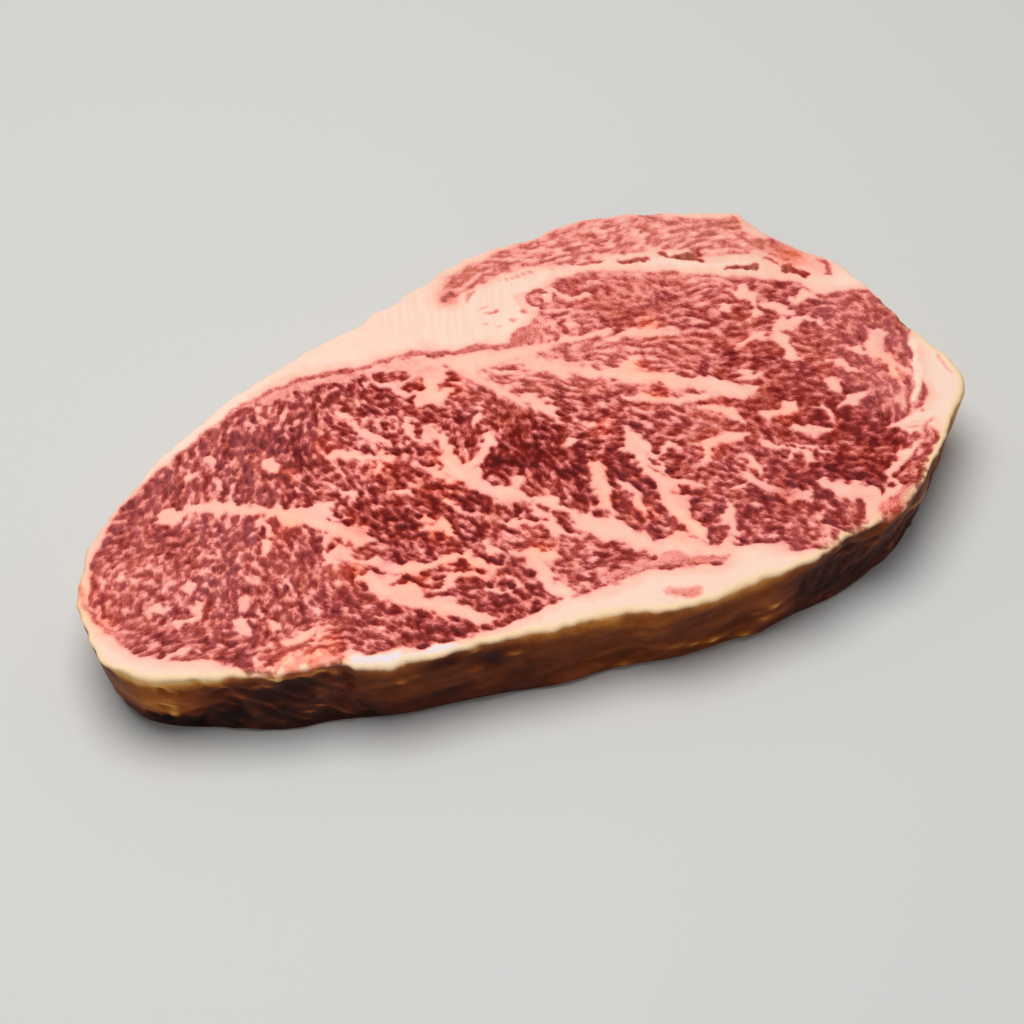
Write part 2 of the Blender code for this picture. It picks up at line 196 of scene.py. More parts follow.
# Seams of fat between the muscles' bundles: width, then the knots of the line
SEAMS = [
    (4.0, [(-105, 12.5), (-95, 12.3), (-88, 11.3), (-82, 9), (-78, 5.5)]),
    (4.8, [(-88, 11), (-82, 8.6), (-76, 3.8), (-70, 0), (-64, -5), (-59.8, -9.2),
           (-55.8, -14.4), (-49.6, -20.4)]),
    (3.4, [(-72, 1), (-66, -1.2), (-60, -2.4), (-55, -1.6)]),
    (1.8, [(-77, 3), (-78.5, -4)]),
    (3.0, [(-77.6, -4), (-78.4, -8), (-79.4, -11.5)]),
    (2.0, [(-60, -9), (-63, -14), (-64, -18)]),
    (1.8, [(-90, 26), (-92, 23)]),
    (2.2, [(-94, 37), (-93, 30)]),
    (2.8, [(-117.5, -17.5), (-109, -18)]),
    (2.0, [(-120, -33), (-110, -34), (-107, -36)]),
    (1.6, [(-79, -20), (-78, -27)]),
    (1.6, [(-75, -40), (-78, -45)]),
    (1.8, [(-87, -33), (-86, -38)]),
    (3.0, [(-66, -20), (-60, -20), (-56, -23), (-52, -27), (-50, -30), (-45, -32.5), (-38, -35),
           (-32, -34), (-28, -37), (-25, -43)]),
    (2.0, [(-56, -14), (-60, -19)]),
    (4.4, [(-61, -30), (-55, -34), (-53, -38), (-49, -42), (-44, -47), (-39, -52), (-35, -55),
           (-30, -59.5)]),
    (2.4, [(-53, -35), (-47, -33)]),
    (2.0, [(-22, -32), (-18, -38)]),
    (2.2, [(-16, -27), (-8, -31), (-3, -34), (0, -38), (3, -42)]),
    (4.0, [(-15.4, -37), (-13.2, -41), (-11.8, -46), (-13, -51), (-11.8, -56), (-9, -62)]),
    (3.0, [(-13, -43), (-8.5, -44.5), (-4.5, -46.8)]),
    (1.8, [(-40, -43), (-33, -41), (-27, -43), (-20, -43)]),
    (1.8, [(-30, -48), (-25, -51), (-20, -50)]),
    (2.4, [(-40, -3), (-36, -6), (-33, -8)]),
    (3.6, [(-36, -21), (-32, -22), (-28, -24)]),
    (1.8, [(-35, -14), (-33, -20)]),
    (2.0, [(-52, 3), (-51, -3)]),
    (2.0, [(-28, 2), (-24, -4), (-22, -9)]),
    (1.6, [(-26, -14), (-22, -20), (-18, -24)]),
    (1.8, [(-62, -3), (-57, -7), (-53, -8)]),
    (2.6, [(-43, 33), (-40, 28), (-38, 24), (-36, 18), (-35, 14), (-33, 11)]),
    (3.4, [(-50, 16), (-45, 13.4), (-41, 10.6), (-36, 9), (-33, 8)]),
    (2.4, [(-36, 10), (-39, 6), (-41, 3)]),
    (3.0, [(-26, 20), (-26, 15), (-27, 11)]),
    (2.4, [(-27, 11), (-22, 10), (-19, 13), (-16, 16)]),
    (2.2, [(-28, 38), (-24, 35), (-20, 31.5), (-17, 28)]),
    (6.2, [(-18.6, 24.2), (-14, 25.6), (-8, 25.4)]),
    (3.6, [(-12, 27), (-10, 33), (-8, 38)]),
    (2.2, [(-14, 36), (-10, 33)]),
    (2.2, [(-7, 28), (-3, 27)]),
    (3.0, [(-17.5, 16), (-17.8, 10), (-17.8, 4), (-17.8, -2)]),
    (7.8, [(-19, 3), (-18.4, -3), (-16.6, -8), (-13, -12.6)]),
    (6.0, [(-16.4, -9.5), (-13.8, -14), (-10.6, -17.6), (-6.4, -20.6), (-4, -23.6)]),
    (2.8, [(-4.6, -21), (-2.4, -25), (1, -28), (4, -32), (6.6, -36.5)]),
    (1.5, [(-4, -25), (-3, -30), (0, -36)]),
    (1.6, [(-6, -26), (-10, -28.4), (-15, -28.6)]),
    (5.4, [(-9.5, 45), (-10.2, 37), (-10.6, 31), (-12.4, 25)]),
    (6.4, [(5.4, -34.4), (9, -38), (12.2, -41.6), (15, -46), (19, -51.5), (25, -55.5), (31, -59),
           (37, -62.5), (46, -65.5)]),
    (5.0, [(7, -37), (11, -42), (14, -46)]),
    (5.4, [(-18, -7), (-12.6, -4), (-8, -1.4)]), (3.8, [(-9.6, -2.2), (-6.6, 1.4), (-4.4, 5.4)]),
    (1.8, [(-7, 8.6), (-5.2, 12), (-2.6, 16)]),
    (2.2, [(-18, -3), (-21, -2.4), (-23.4, -4)]),
    (3.4, [(-7, -11), (-5, -15), (-6, -19)]),
    (2.4, [(0, -29), (-2, -35), (-2, -40)]),
    (2.6, [(9, 15), (11.5, 12), (14, 9), (15.5, 5), (18, 0)]),
    (4.2, [(13, 8.5), (14.5, 6)]),
    (4.2, [(14, 29), (19.6, 26.4), (24.5, 21.4), (32, 16.6), (38, 12.6), (45, 9)]),
    (5.6, [(38, 12.6), (45, 9.2), (51, 5.6), (57, 2), (63, -2.6), (69, -7.6), (77, -12)]),
    (8.0, [(60, -1), (65, -4.6), (71, -10)]),
    (3.0, [(44, 14), (50, 15.5)]),
    (2.8, [(38, 2), (45, -1), (52, -4), (60, -6), (67, -8)]),
    (2.0, [(57, -10.5), (62, -12.5), (63.5, -17), (66, -22)]),
    (2.6, [(44, 26), (51, 24.8), (57, 23.4), (62, 22), (68, 19.6)]),
    (2.6, [(27, 30), (35, 31), (42, 29.4), (47, 29)]),
    (2.2, [(80, 8), (86, 8.2), (92, 8)]),
    (4.6, [(92, 9), (92, 3), (91.6, -2), (94, -5.5)]),
    (3.6, [(91, 8.8), (97, 10), (103, 10), (107, 8)]),
    (2.4, [(88, 14), (92, 18), (93, 23), (90, 28)]),
    (4.4, [(89, 28), (92, 27.5)]),
    (2.6, [(84, 26), (84, 21)]),
    (2.2, [(103, 13), (98, 15), (95, 19)]),
    (4.0, [(103, 17), (108, 19), (112, 16)]),
    (3.0, [(74, -3), (80, -6)]),
    (3.4, [(70, -19.5), (75, -21.5), (81.5, -22.5)]),
    (2.2, [(80, -22), (84, -19.5)]),
    (2.8, [(88, -23.5), (91, -27), (91, -31)]),
    (3.8, [(77.5, -29.5), (82, -32), (89, -33.8)]),
    (3.0, [(95, -27.4), (100, -27), (106, -26)]),
    (3.0, [(96, -16), (98.5, -18.5), (100, -21)]),
    (2.2, [(101, -10), (105, -13), (108, -17)]),
    (1.8, [(68, -29), (71, -34), (75, -38)]),
    (2.2, [(75, -34.6), (78, -36.6), (81, -38.4), (82, -42)]),
    (3.0, [(73, -38.5), (78, -40), (79.5, -44)]),
    (2.4, [(60, -32), (62.8, -38), (62, -43)]),
    (2.8, [(45, -31), (51, -29), (53.5, -25.5), (58, -24.4), (65, -25.5)]),
    (2.2, [(52.5, -43.5), (58, -42)]),
    (2.2, [(57, -37), (59.6, -43), (62.6, -48), (67, -53), (69, -56)]),
    (4.2, [(64, -54.5), (67, -53.5), (70, -52.5)]),
    (5.4, [(33.2, -10), (34.2, -14), (35.5, -18.5), (37.5, -23)]),
    (2.8, [(26, -15.8), (31, -17.5), (36, -17)]),
    (5.4, [(34.6, -16), (32.8, -22), (32.8, -28), (34, -33), (32.8, -40), (33.2, -47), (34.2, -53),
           (35.6, -59)]),
    (2.4, [(33.6, -22), (36, -26), (37, -30)]),
    (2.6, [(34, -33), (40, -35), (45.5, -38.6)]),
    (2.6, [(36, -23), (41, -22), (44.5, -19)]),
    (3.8, [(19.6, -17), (18.2, -23), (16.8, -29), (15.4, -35), (14.4, -42)]),
    (2.4, [(22.4, -26.5), (24, -33), (25.8, -41)]),
    (2.6, [(47.8, -48), (45.6, -53.5), (45, -58), (44, -62.5)]),
    (2.8, [(14.5, -8.5), (15, -7)]),
    (5.4, [(76, -50), (80, -54), (84.5, -58), (86, -63), (84, -68), (82, -72)]),
    (3.6, [(86, -64.5), (92, -63.8), (97, -62)]),
    (3.2, [(96, -61), (95.5, -57), (99, -54), (104, -51), (109, -49.5)]),
    (3.4, [(117, -24), (118, -17), (117, -11), (120, -6), (124, -5)]),
    (2.4, [(104, -41), (110, -43), (116, -44)]),
    (2.2, [(110, -6), (113, -11)]),
]
# How full the seams are drawn, how thin they start, how long they taper in mm, and how much the
# flecks fray them. The same for marks: their taper in mm and their roughness
SEAM_SLIMNESS = 0.96
SEAM_TIP = 0.12
SEAM_TAPER = 5.0
SEAM_FRAYING = 0.22
MARK_TAPER = 1.2
MARK_ROUGHNESS = 0.22

# Closed outlines of the fat along the edges of the face. What lies past the rim isn't used
CAP_FAT = [
    (-140, -2), (-129.5, 0.5), (-118.6, 15.2), (-110, 23.5), (-100, 29.5), (-90, 34.5), (-80, 39),
    (-70, 43.7), (-60, 46.4), (-50, 48), (-40, 48.3), (-30, 46.3), (-20, 45.8), (-13, 46),
    (-8, 44), (-3, 41), (2, 39.6), (10, 38.3), (16, 36), (25, 40), (30, 47), (34, 53),
    (42, 55.5), (52, 54.5), (62, 50.5), (70, 46.5), (80, 41.5), (90, 35.5), (100, 30), (108, 24),
    (112, 18.5), (116, 16.5), (124, 13.8), (127.6, 11), (129.4, 4), (131, -2), (130.6, -8),
    (128.4, -15), (125, -22), (123.4, -27), (122.6, -33), (118, -37.5), (113, -39), (108.5, -41.4),
    (115, -44), (115.5, -50), (112, -55), (107, -60), (112, -64), (150, -40),
    (150, 90), (-140, 90),
]
NARROW_END_FAT = [
    (-129.5, 3), (-131.8, -8), (-131, -15), (-128.5, -22), (-125.5, -28), (-121, -32.5), (-116, -36),
    (-110, -39), (-105, -42.5), (-100, -45.5), (-99, -49), (-99, -60), (-150, -60), (-150, 6),
]
BELLY_FAT = [
    (-74, -54.5), (-66, -56), (-58, -58), (-50, -60), (-40, -61.8), (-30, -62.5), (-24, -62),
    (-18, -61.2), (-11, -60), (-3, -60.5), (6, -61.5), (14, -61), (23, -61.5), (30, -64.5),
    (37, -66.5), (42, -63.5), (47, -63.5), (51, -67), (57, -70.5), (63, -73.5), (66, -80),
    (-74, -80),
]
# The pinker fat that the silver skin lies on, between the two large muscles
SEAM_FAT = [
    (-14, 43.5), (-4, 40), (6, 37.5), (15, 34), (24, 31.5), (27, 29), (20, 28.3), (12, 29.4),
    (6, 30), (3.6, 27), (6, 21.5), (9, 15.5), (10.5, 9), (8.4, 9.5), (5.6, 16), (3, 21), (0, 26.5),
    (-3.5, 32), (-6, 37), (-10, 36), (-11, 39),
]
# Outline of the thin muscle in the fat cap
CAP_MUSCLE = [
    (2.5, 61), (6, 67), (13, 71), (24, 74), (42, 75.6), (58, 76.4), (70, 73), (85, 67),
    (98, 60), (104, 56), (104, 50), (107, 44), (104, 41), (96, 42.5), (88, 45), (84, 50),
    (76, 53), (66, 56), (56, 58), (44, 61), (36, 62.5), (26, 64), (14, 62.5), (8, 58.5),
]

# Single marks: how fat they look on the scale of the colours below, width, knots
MARKS = [
    # The pink fat under the silver skin, and the silver skin
    (1.5, 3.6, [(-62, 43.5), (-52, 45.2), (-42, 44.8), (-34, 43.2), (-24, 43), (-15, 42.5)]),
    (2.0, 6.0, [(-28, 43), (-20, 42.6), (-13, 38), (-9, 33)]),
    (4.4, 4.8, [(-106, 29.2), (-98, 33.2), (-90, 37.2), (-82, 41.4), (-74, 45.2), (-64, 49)]),
    (0.75, 0.9, [(-102, 27.6), (-94, 31.6), (-86, 35.8), (-78, 40), (-70, 43.2), (-62, 45.6)]),
    (0.55, 1.4, [(-66, 45), (-60, 46), (-50, 47.2), (-40, 47), (-33, 45.5), (-25, 45.2)]),
    (0.60, 1.8, [(-25, 45.2), (-15, 45.1), (-10, 44), (-5, 41.5), (0, 39.4)]),
    (0.40, 2.3, [(-5, 41.5), (0, 39.4), (5, 38.5), (10, 37.4), (15, 35.6), (20, 34.6)]),
    (0.6, 5.0, [(18, 35.4), (21, 36.6), (24, 39)]),
    # Lean in the fat under it
    (-0.6, 2.4, [(-43, 43.3), (-41, 43)]),
    (-0.5, 2.2, [(-31, 41.6), (-29, 41.4)]),
    (-0.7, 3.2, [(-26, 40.8), (-24, 40)]),
    (2.0, 1.3, [(-22, 33.4), (-18, 34), (-14, 36.2)]),
    (0.2, 2.5, [(-63, 17), (-63, 15)]),
    # Short thick spots of fat in the left half
    (2.2, 4.0, [(-82.8, 29.6), (-82.8, 27)]), (2.0, 2.6, [(-83.2, 22), (-83, 16)]),
    (2.3, 4.4, [(-67.5, 21.6), (-67.2, 17.2)]), (2.4, 3.6, [(-103.2, -11.5), (-103.7, -16)]),
    (2.2, 2.2, [(-104, -19), (-104.2, -24.5)]), (2.4, 1.9, [(-112.5, -24.6), (-104, -24.4)]),
    (2.5, 4.6, [(-95.6, -30.6), (-94.6, -33)]), (2.2, 2.4, [(-94.2, -33), (-94, -37)]),
    (2.0, 2.2, [(-91.6, -22), (-92.6, -28)]),
    # Scratches
    (-0.9, 0.6, [(-92, -14), (-93, -21), (-94.2, -28.5)]), (-0.7, 0.5, [(-90.6, -3), (-92, -11)]),
    # Narrow end
    (1.2, 2.4, [(-131.6, 1), (-132.2, -5), (-131.2, -12), (-129, -18), (-126.5, -22)]),
    (0.2, 0.8, [(-133, -6), (-131.3, -13), (-129, -18), (-126.5, -22)]),
    (0.6, 0.7, [(-126, -25), (-123, -28), (-120, -30)]),
    (-0.3, 1.0, [(-95, -45), (-89, -46.5), (-84, -45.5), (-78, -46.5)]),
    (2.6, 2.4, [(-87, -42.6), (-81, -43), (-77, -42.6)]),
    (1.5, 4.4, [(-93, -49.6), (-86, -51), (-80, -51.6), (-74, -51)]),
    (2.7, 1.8, [(-91, -49.4), (-86, -50.4)]), (0.9, 1.0, [(-89, -52), (-85, -53.4), (-79, -53.6)]),
    # Painted highlight: the bright spot at level 5.2 on the crumbly fat
    (5.2, 1.5, [(-85, -52.2), (-82.4, -52.8)]), (0.7, 1.4, [(-77, -50), (-74, -52)]),
    (4.4, 1.1, [(-91, -50.8), (-90, -51.2)]), (4.2, 1.0, [(-87.4, -49), (-86.4, -48.8)]),
    (4.0, 1.2, [(-79.6, -49.8), (-78.4, -50.4)]), (4.4, 1.0, [(-79.4, -53.8), (-78, -54)]),
    (0.5, 0.7, [(-93, -51.4), (-90.6, -49.4), (-88.6, -51)]), (0.6, 0.7, [(-82, -50.8), (-80.4, -52.4)]),
    (0.3, 0.8, [(-76, -52.2), (-73.6, -49.4), (-70.6, -50)]),
    # Fat on the front rim with a painted highlight: the white-blue shine of wet fat
    (5.4, 3.6, [(-72, -56), (-68, -58.4), (-63, -60), (-58, -61)]),
    (5.3, 2.8, [(-60, -60.8), (-50, -61.9), (-42, -63.2)]),
    (4.4, 1.2, [(-42, -63.6), (-30, -64.5)]),
    # Lean in the belly fat
    (1.3, 3.0, [(4, -58), (13, -58.5), (22, -58.5), (28, -60.5)]),
    (0.5, 0.9, [(5, -59.5), (10, -59), (14, -59.6), (20, -58.8)]),
    (0.7, 2.2, [(22, -59), (28, -62), (34, -64), (38, -65.5)]),
    (1.7, 3.4, [(16.5, -69.4), (21, -71), (27, -71.6)]),
    (0.9, 2.0, [(18.6, -70.4), (22, -71.4), (25.4, -72.2)]),
    # Thin end of the cap muscle
    (-0.3, 1.8, [(4, 61.5), (6, 62.5), (9, 63.2)]),
    (0.5, 1.6, [(8, 66), (13, 66.5), (17, 67.5)]),
    (0.4, 1.6, [(12, 68.5), (17, 69), (22, 69)]),
    # Cut vessels and threads in the cap fat
    (0.7, 1.1, [(24.4, 63), (24.6, 61.5)]), (0.5, 1.2, [(26.4, 63), (26.6, 61.2)]),
    (0.7, 1.1, [(28.2, 62.8), (28.4, 61.4)]), (0.8, 1.0, [(30.0, 62.6), (30.2, 61.4)]),
    (0.7, 1.1, [(32.0, 62.4), (32.2, 61.2)]), (0.9, 1.0, [(34.2, 62.4), (34.6, 61.2)]),
    (1.0, 1.3, [(10.5, 57), (12.5, 59.5), (16, 61)]),
    (0.9, 1.1, [(14, 50.6), (16, 50.5), (18.5, 50.6)]), (1.3, 1.0, [(13, 53), (17, 53.2)]),
    (1.1, 1.3, [(12.6, 47.4), (13.4, 45.8)]), (1.2, 1.1, [(15, 43.8), (17, 43.6)]),
    (1.3, 1.1, [(19, 44.8), (22, 44)]), (0.9, 2.2, [(25.5, 48), (27, 46)]),
    (0.9, 0.9, [(41, 60.5), (43, 59.8)]),
    (0.2, 1.3, [(47.5, 59.2), (50, 58), (53, 57), (58, 56.3)]),
    # Dark lean between the cap and the eye
    (-0.5, 1.9, [(61.5, 55.3), (66, 53.2), (71, 51)]),
    (-0.7, 1.3, [(74.6, 53), (76.5, 51), (78.5, 49)]),
    (-1.1, 3.2, [(78.5, 49.5), (82, 47.6), (84.5, 45.8)]),
    (-0.8, 1.8, [(84.5, 45.8), (86, 44)]),
    (-0.6, 1.6, [(85.6, 49), (86, 46)]),
    (-0.8, 2.0, [(90.5, 38.4), (94, 37.4), (97, 36.2)]),
    (-0.9, 2.8, [(96, 36.4), (99.5, 35.4), (101, 36.2)]),
    (-0.8, 1.9, [(99.5, 35), (98.8, 33)]),
    (-1.1, 2.9, [(106.5, 29.8), (109.5, 30.5), (109, 32.5)]),
    (-0.7, 2.6, [(109.4, 29.6), (111.6, 27), (113.4, 24.6)]),
    # Browned corner of the cap
    (0.3, 1.0, [(102, 57.6), (103.6, 57.8), (104, 56.6), (102.6, 56.2), (101.8, 57)]),
    (-0.3, 2.2, [(105.4, 42.4), (106.6, 45)]), (0.1, 1.2, [(104, 38.6), (106.6, 35.6), (107.6, 32)]),
    (0.0, 1.3, [(106, 42), (107.5, 44), (109.5, 43), (108.5, 41)]),
    (0.4, 1.0, [(106.5, 39), (109, 36.5), (111, 34)]),
    (0.2, 1.3, [(108, 42), (110, 39), (113, 36), (116, 33)]),
    (0.3, 1.0, [(96, 58), (98, 55), (101, 52)]), (0.3, 1.0, [(88, 61), (90, 57), (93, 54)]),
    (0.2, 1.0, [(101, 49), (103.6, 46), (105, 43)]),
    (0.3, 1.5, [(117.6, 23.5), (120, 23.6), (120.6, 27), (119, 31)]),
    # Curls where the eye starts
    (2.8, 8.0, [(27, 52), (31, 50.6), (35.4, 50)]),
    (1.3, 5.4, [(31.6, 50.6), (33.4, 49)]),
    (0.1, 1.5, [(34.6, 47), (30.6, 47.6), (29, 50.4), (30.8, 53), (34, 53.2), (35.6, 50.8)]),
    (0.2, 1.5, [(32.4, 50.8), (34, 49.4), (33, 48.6)]),
    (2.1, 1.3, [(36.6, 54.5), (37.4, 50.4), (39.6, 47.4), (43, 45.6), (48, 45.4)]),
    (2.0, 1.4, [(27, 45), (32, 44.4), (36, 43.6), (41, 42)]),
    (0.3, 1.3, [(29, 30.5), (30.2, 33.5), (29, 36), (30.6, 38.6)]),
    (0.0, 1.5, [(33.5, 32.5), (35, 35), (33.8, 37.4), (36, 39.4)]),
    (-0.3, 1.5, [(38.4, 31.5), (39.6, 34.4), (38.6, 37)]),
    (-0.2, 1.4, [(31, 43), (34.6, 41.6), (38.5, 41)]),
    (1.7, 0.8, [(36.8, 30.5), (37.2, 33.5), (36.4, 36)]),
    (1.7, 0.8, [(31.8, 31), (32.2, 34.5), (31.6, 37.6), (33.4, 40)]),
    (0.2, 2.2, [(41, 47.5), (43.5, 50.5), (44, 53)]),
    # Blunt end
    (2.0, 2.4, [(122, -5), (117.6, -11), (118.6, -18), (121, -25)]),
    (4.2, 2.4, [(129.6, -11), (126.6, -18), (124, -24), (120, -30), (115, -34)]),
    (1.0, 1.0, [(132.5, -20), (132.5, -30)]),
    (1.0, 1.0, [(109, -42), (114, -45), (118.5, -42.5)]),
    (0.6, 1.6, [(116, -39), (117, -38.6)]),
    (0.8, 2.4, [(109.6, -48), (112, -49)]),
    (0.9, 3.0, [(85, -67.5), (92, -66.5), (100, -63)]),
]

# Where blood-bright lean glows beside the seams: place and reach
GLOWS = [
    (-38, 5, 5), (-25, -10, 6), (-6, 27, 4), (-33, -25, 4), (-45, -37, 5), (-60, -27, 4),
    (-28, -40, 5), (48, 12, 3), (48, 0, 4), (-50, 20, 4), (-63.5, 15.5, 3), (58, 27, 4),
    (-72, -3, 5), (-22, 3, 4), (-88, -51, 5), (-80, -51, 6), (-74, -49, 4), (90, -69, 5),
    (112, 34, 5), (28, -6, 4), (-8, -41, 4), (-132, -3, 5), (-130, -16, 4), (80, -24, 3),
]


def smoothstep(start, end, value):
    share = np.clip((value - start) / (end - start), 0, 1)
    return share * share * (3 - 2 * share)


def unit(values):
    """The values about their mean, as multiples of their spread."""
    values = values - values.mean()
    return values / values.std()


class Sheet:
    """A flat sheet of evenly spaced samples, on which fields of noise and grain are made."""

    def __init__(self, low_x, high_x, low_y, high_y, pitch):
        self.low_x = low_x
        self.low_y = low_y
        self.columns = int(round((high_x - low_x) / pitch))
        self.rows = int(round((high_y - low_y) / pitch))
        self.pitch_x = (high_x - low_x) / self.columns
        self.pitch_y = (high_y - low_y) / self.rows
        self.shape = (self.rows, self.columns)
        xs = low_x + (np.arange(self.columns) + 0.5) * self.pitch_x
        ys = low_y + (np.arange(self.rows) + 0.5) * self.pitch_y
        self.x, self.y = np.meshgrid(xs.astype(np.float32), ys.astype(np.float32))
        self.wave_x = np.fft.rfftfreq(self.columns, self.pitch_x)[None, :]
        self.wave_y = np.fft.fftfreq(self.rows, self.pitch_y)[:, None]

    def white(self, seed):
        return np.random.default_rng(seed).standard_normal(self.shape).astype(np.float32)

    def noise(self, size, seed):
        """Smooth noise whose lumps are about size across."""
        spread = size / 2.5
        fade = np.exp(-2 * (np.pi * spread) ** 2 * (self.wave_x**2 + self.wave_y**2))
        return unit(np.fft.irfft2(np.fft.rfft2(self.white(seed)) * fade, s=self.shape))

    def directions(self, angle):
        """How much each of the fixed directions counts where the grain lies at this angle."""
        step = np.pi / GRAIN_DIRECTIONS
        shares = []
        for k in range(GRAIN_DIRECTIONS):
            off = (angle - k * step + np.pi / 2) % np.pi - np.pi / 2
            shares.append(np.clip(1 - np.abs(off) / step, 0, 1).astype(np.float32))
        return shares

    def waves_at(self, angle):
        """The sheet's wave numbers along an angle and across it."""
        cos, sin = np.cos(angle), np.sin(angle)
        return self.wave_x * cos + self.wave_y * sin, self.wave_y * cos - self.wave_x * sin

    def grain(self, shares, across, along, seed, rounds, gain, width):
        """Flecks drawn out along the grain: noise in a band of sizes, sharpened in rounds."""
        values = self.white(seed)
        for turn in range(rounds):
            waves = np.fft.rfft2(values)
            values = np.zeros(self.shape, np.float32)
            for k, share in enumerate(shares):
                wave_along, wave_across = self.waves_at(k * np.pi / GRAIN_DIRECTIONS)
                size = 2 * np.pi**2 * ((along * wave_along) ** 2 + (across * wave_across) ** 2)
                band = np.exp(-size) - np.exp(-size * width**2)
                values += share * np.fft.irfft2(waves * band, s=self.shape)
            values = unit(values)
            if turn < rounds - 1:
                values = np.tanh(gain * values)
        return values

    def streaks(self, angle, across, along, seed):
        """Straight fine streaks at one angle."""
        wave_along, wave_across = self.waves_at(angle)
        fade = np.exp(-2 * np.pi**2 * ((along * wave_along) ** 2 + (across * wave_across) ** 2))
        return unit(np.fft.irfft2(np.fft.rfft2(self.white(seed)) * fade, s=self.shape))

    def cells(self, x, y, angle, spacing, stretch, seed):
        """Rounded bundles drawn out along the grain: distance to their border, and a tone each."""
        cos, sin = np.cos(angle), np.sin(angle)
        column = np.floor(x / spacing).astype(int)
        row = np.floor(y / spacing).astype(int)
        lattice = np.random.default_rng(seed).random((256, 256, 3), dtype=np.float32)
        nearest = np.full(x.shape, 1e9, np.float32)
        second = nearest.copy()
        tone = np.zeros(x.shape, np.float32)
        for right in range(-2, 3):
            for up in range(-2, 3):
                draw = lattice[(column + right) % 256, (row + up) % 256]
                off_x = (column + right + draw[..., 0]) * spacing - x
                off_y = (row + up + draw[..., 1]) * spacing - y
                along = (off_x * cos + off_y * sin) / stretch
                across = off_y * cos - off_x * sin
                distance = np.sqrt(along * along + across * across)
                closer = distance < nearest
                second = np.where(closer, nearest, np.minimum(second, distance))
                tone = np.where(closer, draw[..., 2], tone)
                nearest = np.where(closer, distance, nearest)
        return (second - nearest) / 2, tone

    def sample(self, values, x, y):
        """A field's values at any places, blended from the four samples around each."""
        column = (x - self.low_x) / self.pitch_x - 0.5
        row = (y - self.low_y) / self.pitch_y - 0.5
        j, i = np.floor(column).astype(int), np.floor(row).astype(int)
        right, up = column - j, row - i
        j, after = j % self.columns, (j + 1) % self.columns
        i, above = i % self.rows, (i + 1) % self.rows
        lower = values[i, j] * (1 - right) + values[i, after] * right
        upper = values[above, j] * (1 - right) + values[above, after] * right
        return lower * (1 - up) + upper * up


def smooth_line(knots, steps, closed=False):
    """Points on a smooth curve through the knots (Catmull-Rom)."""
    knots = np.array(knots, float)
    if closed:
        padded = np.vstack([knots[-1], knots, knots[0], knots[1]])
    else:
        padded = np.vstack([2 * knots[0] - knots[1], knots, 2 * knots[-1] - knots[-2]])
    t = (np.arange(steps) / steps)[:, None]
    points = []
    for a, b, c, d in zip(padded, padded[1:], padded[2:], padded[3:]):
        bend = (2 * a - 5 * b + 4 * c - d) * t**2 + (3 * b - a - 3 * c + d) * t**3
        points.append(0.5 * (2 * b + (c - a) * t + bend))
    if not closed:
        points.append(knots[-1:])
    return np.vstack(points)


def stroke_field(sheet, x, y, strokes, width_scale, reach, far=6.0):
    """Half width less distance, for the stroke that wins at each place: positive inside one.

    A stroke runs out to a point over the last part of its length, no longer than the reach.
    """
    field = np.full(sheet.shape, -far, np.float32)
    for width, knots in strokes:
        points = smooth_line(knots, 3)
        steps = np.hypot(*np.diff(points, axis=0).T)
        starts = np.concatenate([[0], np.cumsum(steps)])
        total = starts[-1]
        taper = min(reach, total * 0.45)
        for a, b, start, step in zip(points, points[1:], starts, steps):
            margin = far + 2
            low = (np.minimum(a, b) - margin - (sheet.low_x, sheet.low_y)) / sheet.pitch_x
            high = (np.maximum(a, b) + margin - (sheet.low_x, sheet.low_y)) / sheet.pitch_x
            columns = slice(max(int(low[0]), 0), max(int(high[0]), 0))
            rows = slice(max(int(low[1]), 0), max(int(high[1]), 0))
            off_x = x[rows, columns] - a[0]
            off_y = y[rows, columns] - a[1]
            run = b - a
            share = np.clip((off_x * run[0] + off_y * run[1]) / max(step**2, 1e-6), 0, 1)
            distance = np.hypot(off_x - share * run[0], off_y - share * run[1])
            place = start + share * step
            end = np.minimum(place, total - place)
            fullness = np.minimum(1, SEAM_TIP + (1 - SEAM_TIP) * end / taper)
            inside = width / 2 * fullness * width_scale[rows, columns] - distance
            np.maximum(field[rows, columns], inside, out=field[rows, columns])
    return field


def area_field(sheet, knots):
    """Signed distance to a smooth closed outline, positive inside."""
    x, y = sheet.x, sheet.y
    points = smooth_line(knots, 4, closed=True)
    nearest = np.full(x.shape, 1e9, np.float32)
    inside = np.zeros(x.shape, bool)
    for a, b in zip(points, np.roll(points, -1, 0)):
        run = b - a
        off_x, off_y = x - a[0], y - a[1]
        share = np.clip((off_x * run[0] + off_y * run[1]) / max(run @ run, 1e-9), 0, 1)
        gap = (off_x - share * run[0]) ** 2 + (off_y - share * run[1]) ** 2
        np.minimum(nearest, gap, out=nearest)
        if a[1] != b[1]:
            crossing = a[0] + off_y * run[0] / run[1]
            inside ^= ((a[1] > y) != (b[1] > y)) & (x < crossing)
    nearest = np.sqrt(nearest)
    return np.where(inside, nearest, -nearest)


def spread_over(x, y, rows, reach):
    """Blends a table's values over the places x, y. Its rows start with their own place."""
    table = np.array(rows, float)
    total = np.zeros(x.shape, np.float32)
    sums = [np.zeros(x.shape, np.float32) for _ in range(table.shape[1] - 2)]
    for row in table:
        share = np.exp(-((x - row[0]) ** 2 + (y - row[1]) ** 2) / (2 * reach**2)) + 1e-9
        total += share
        for k, values in enumerate(sums):
            values += share * row[2 + k]
    return [values / total for values in sums]


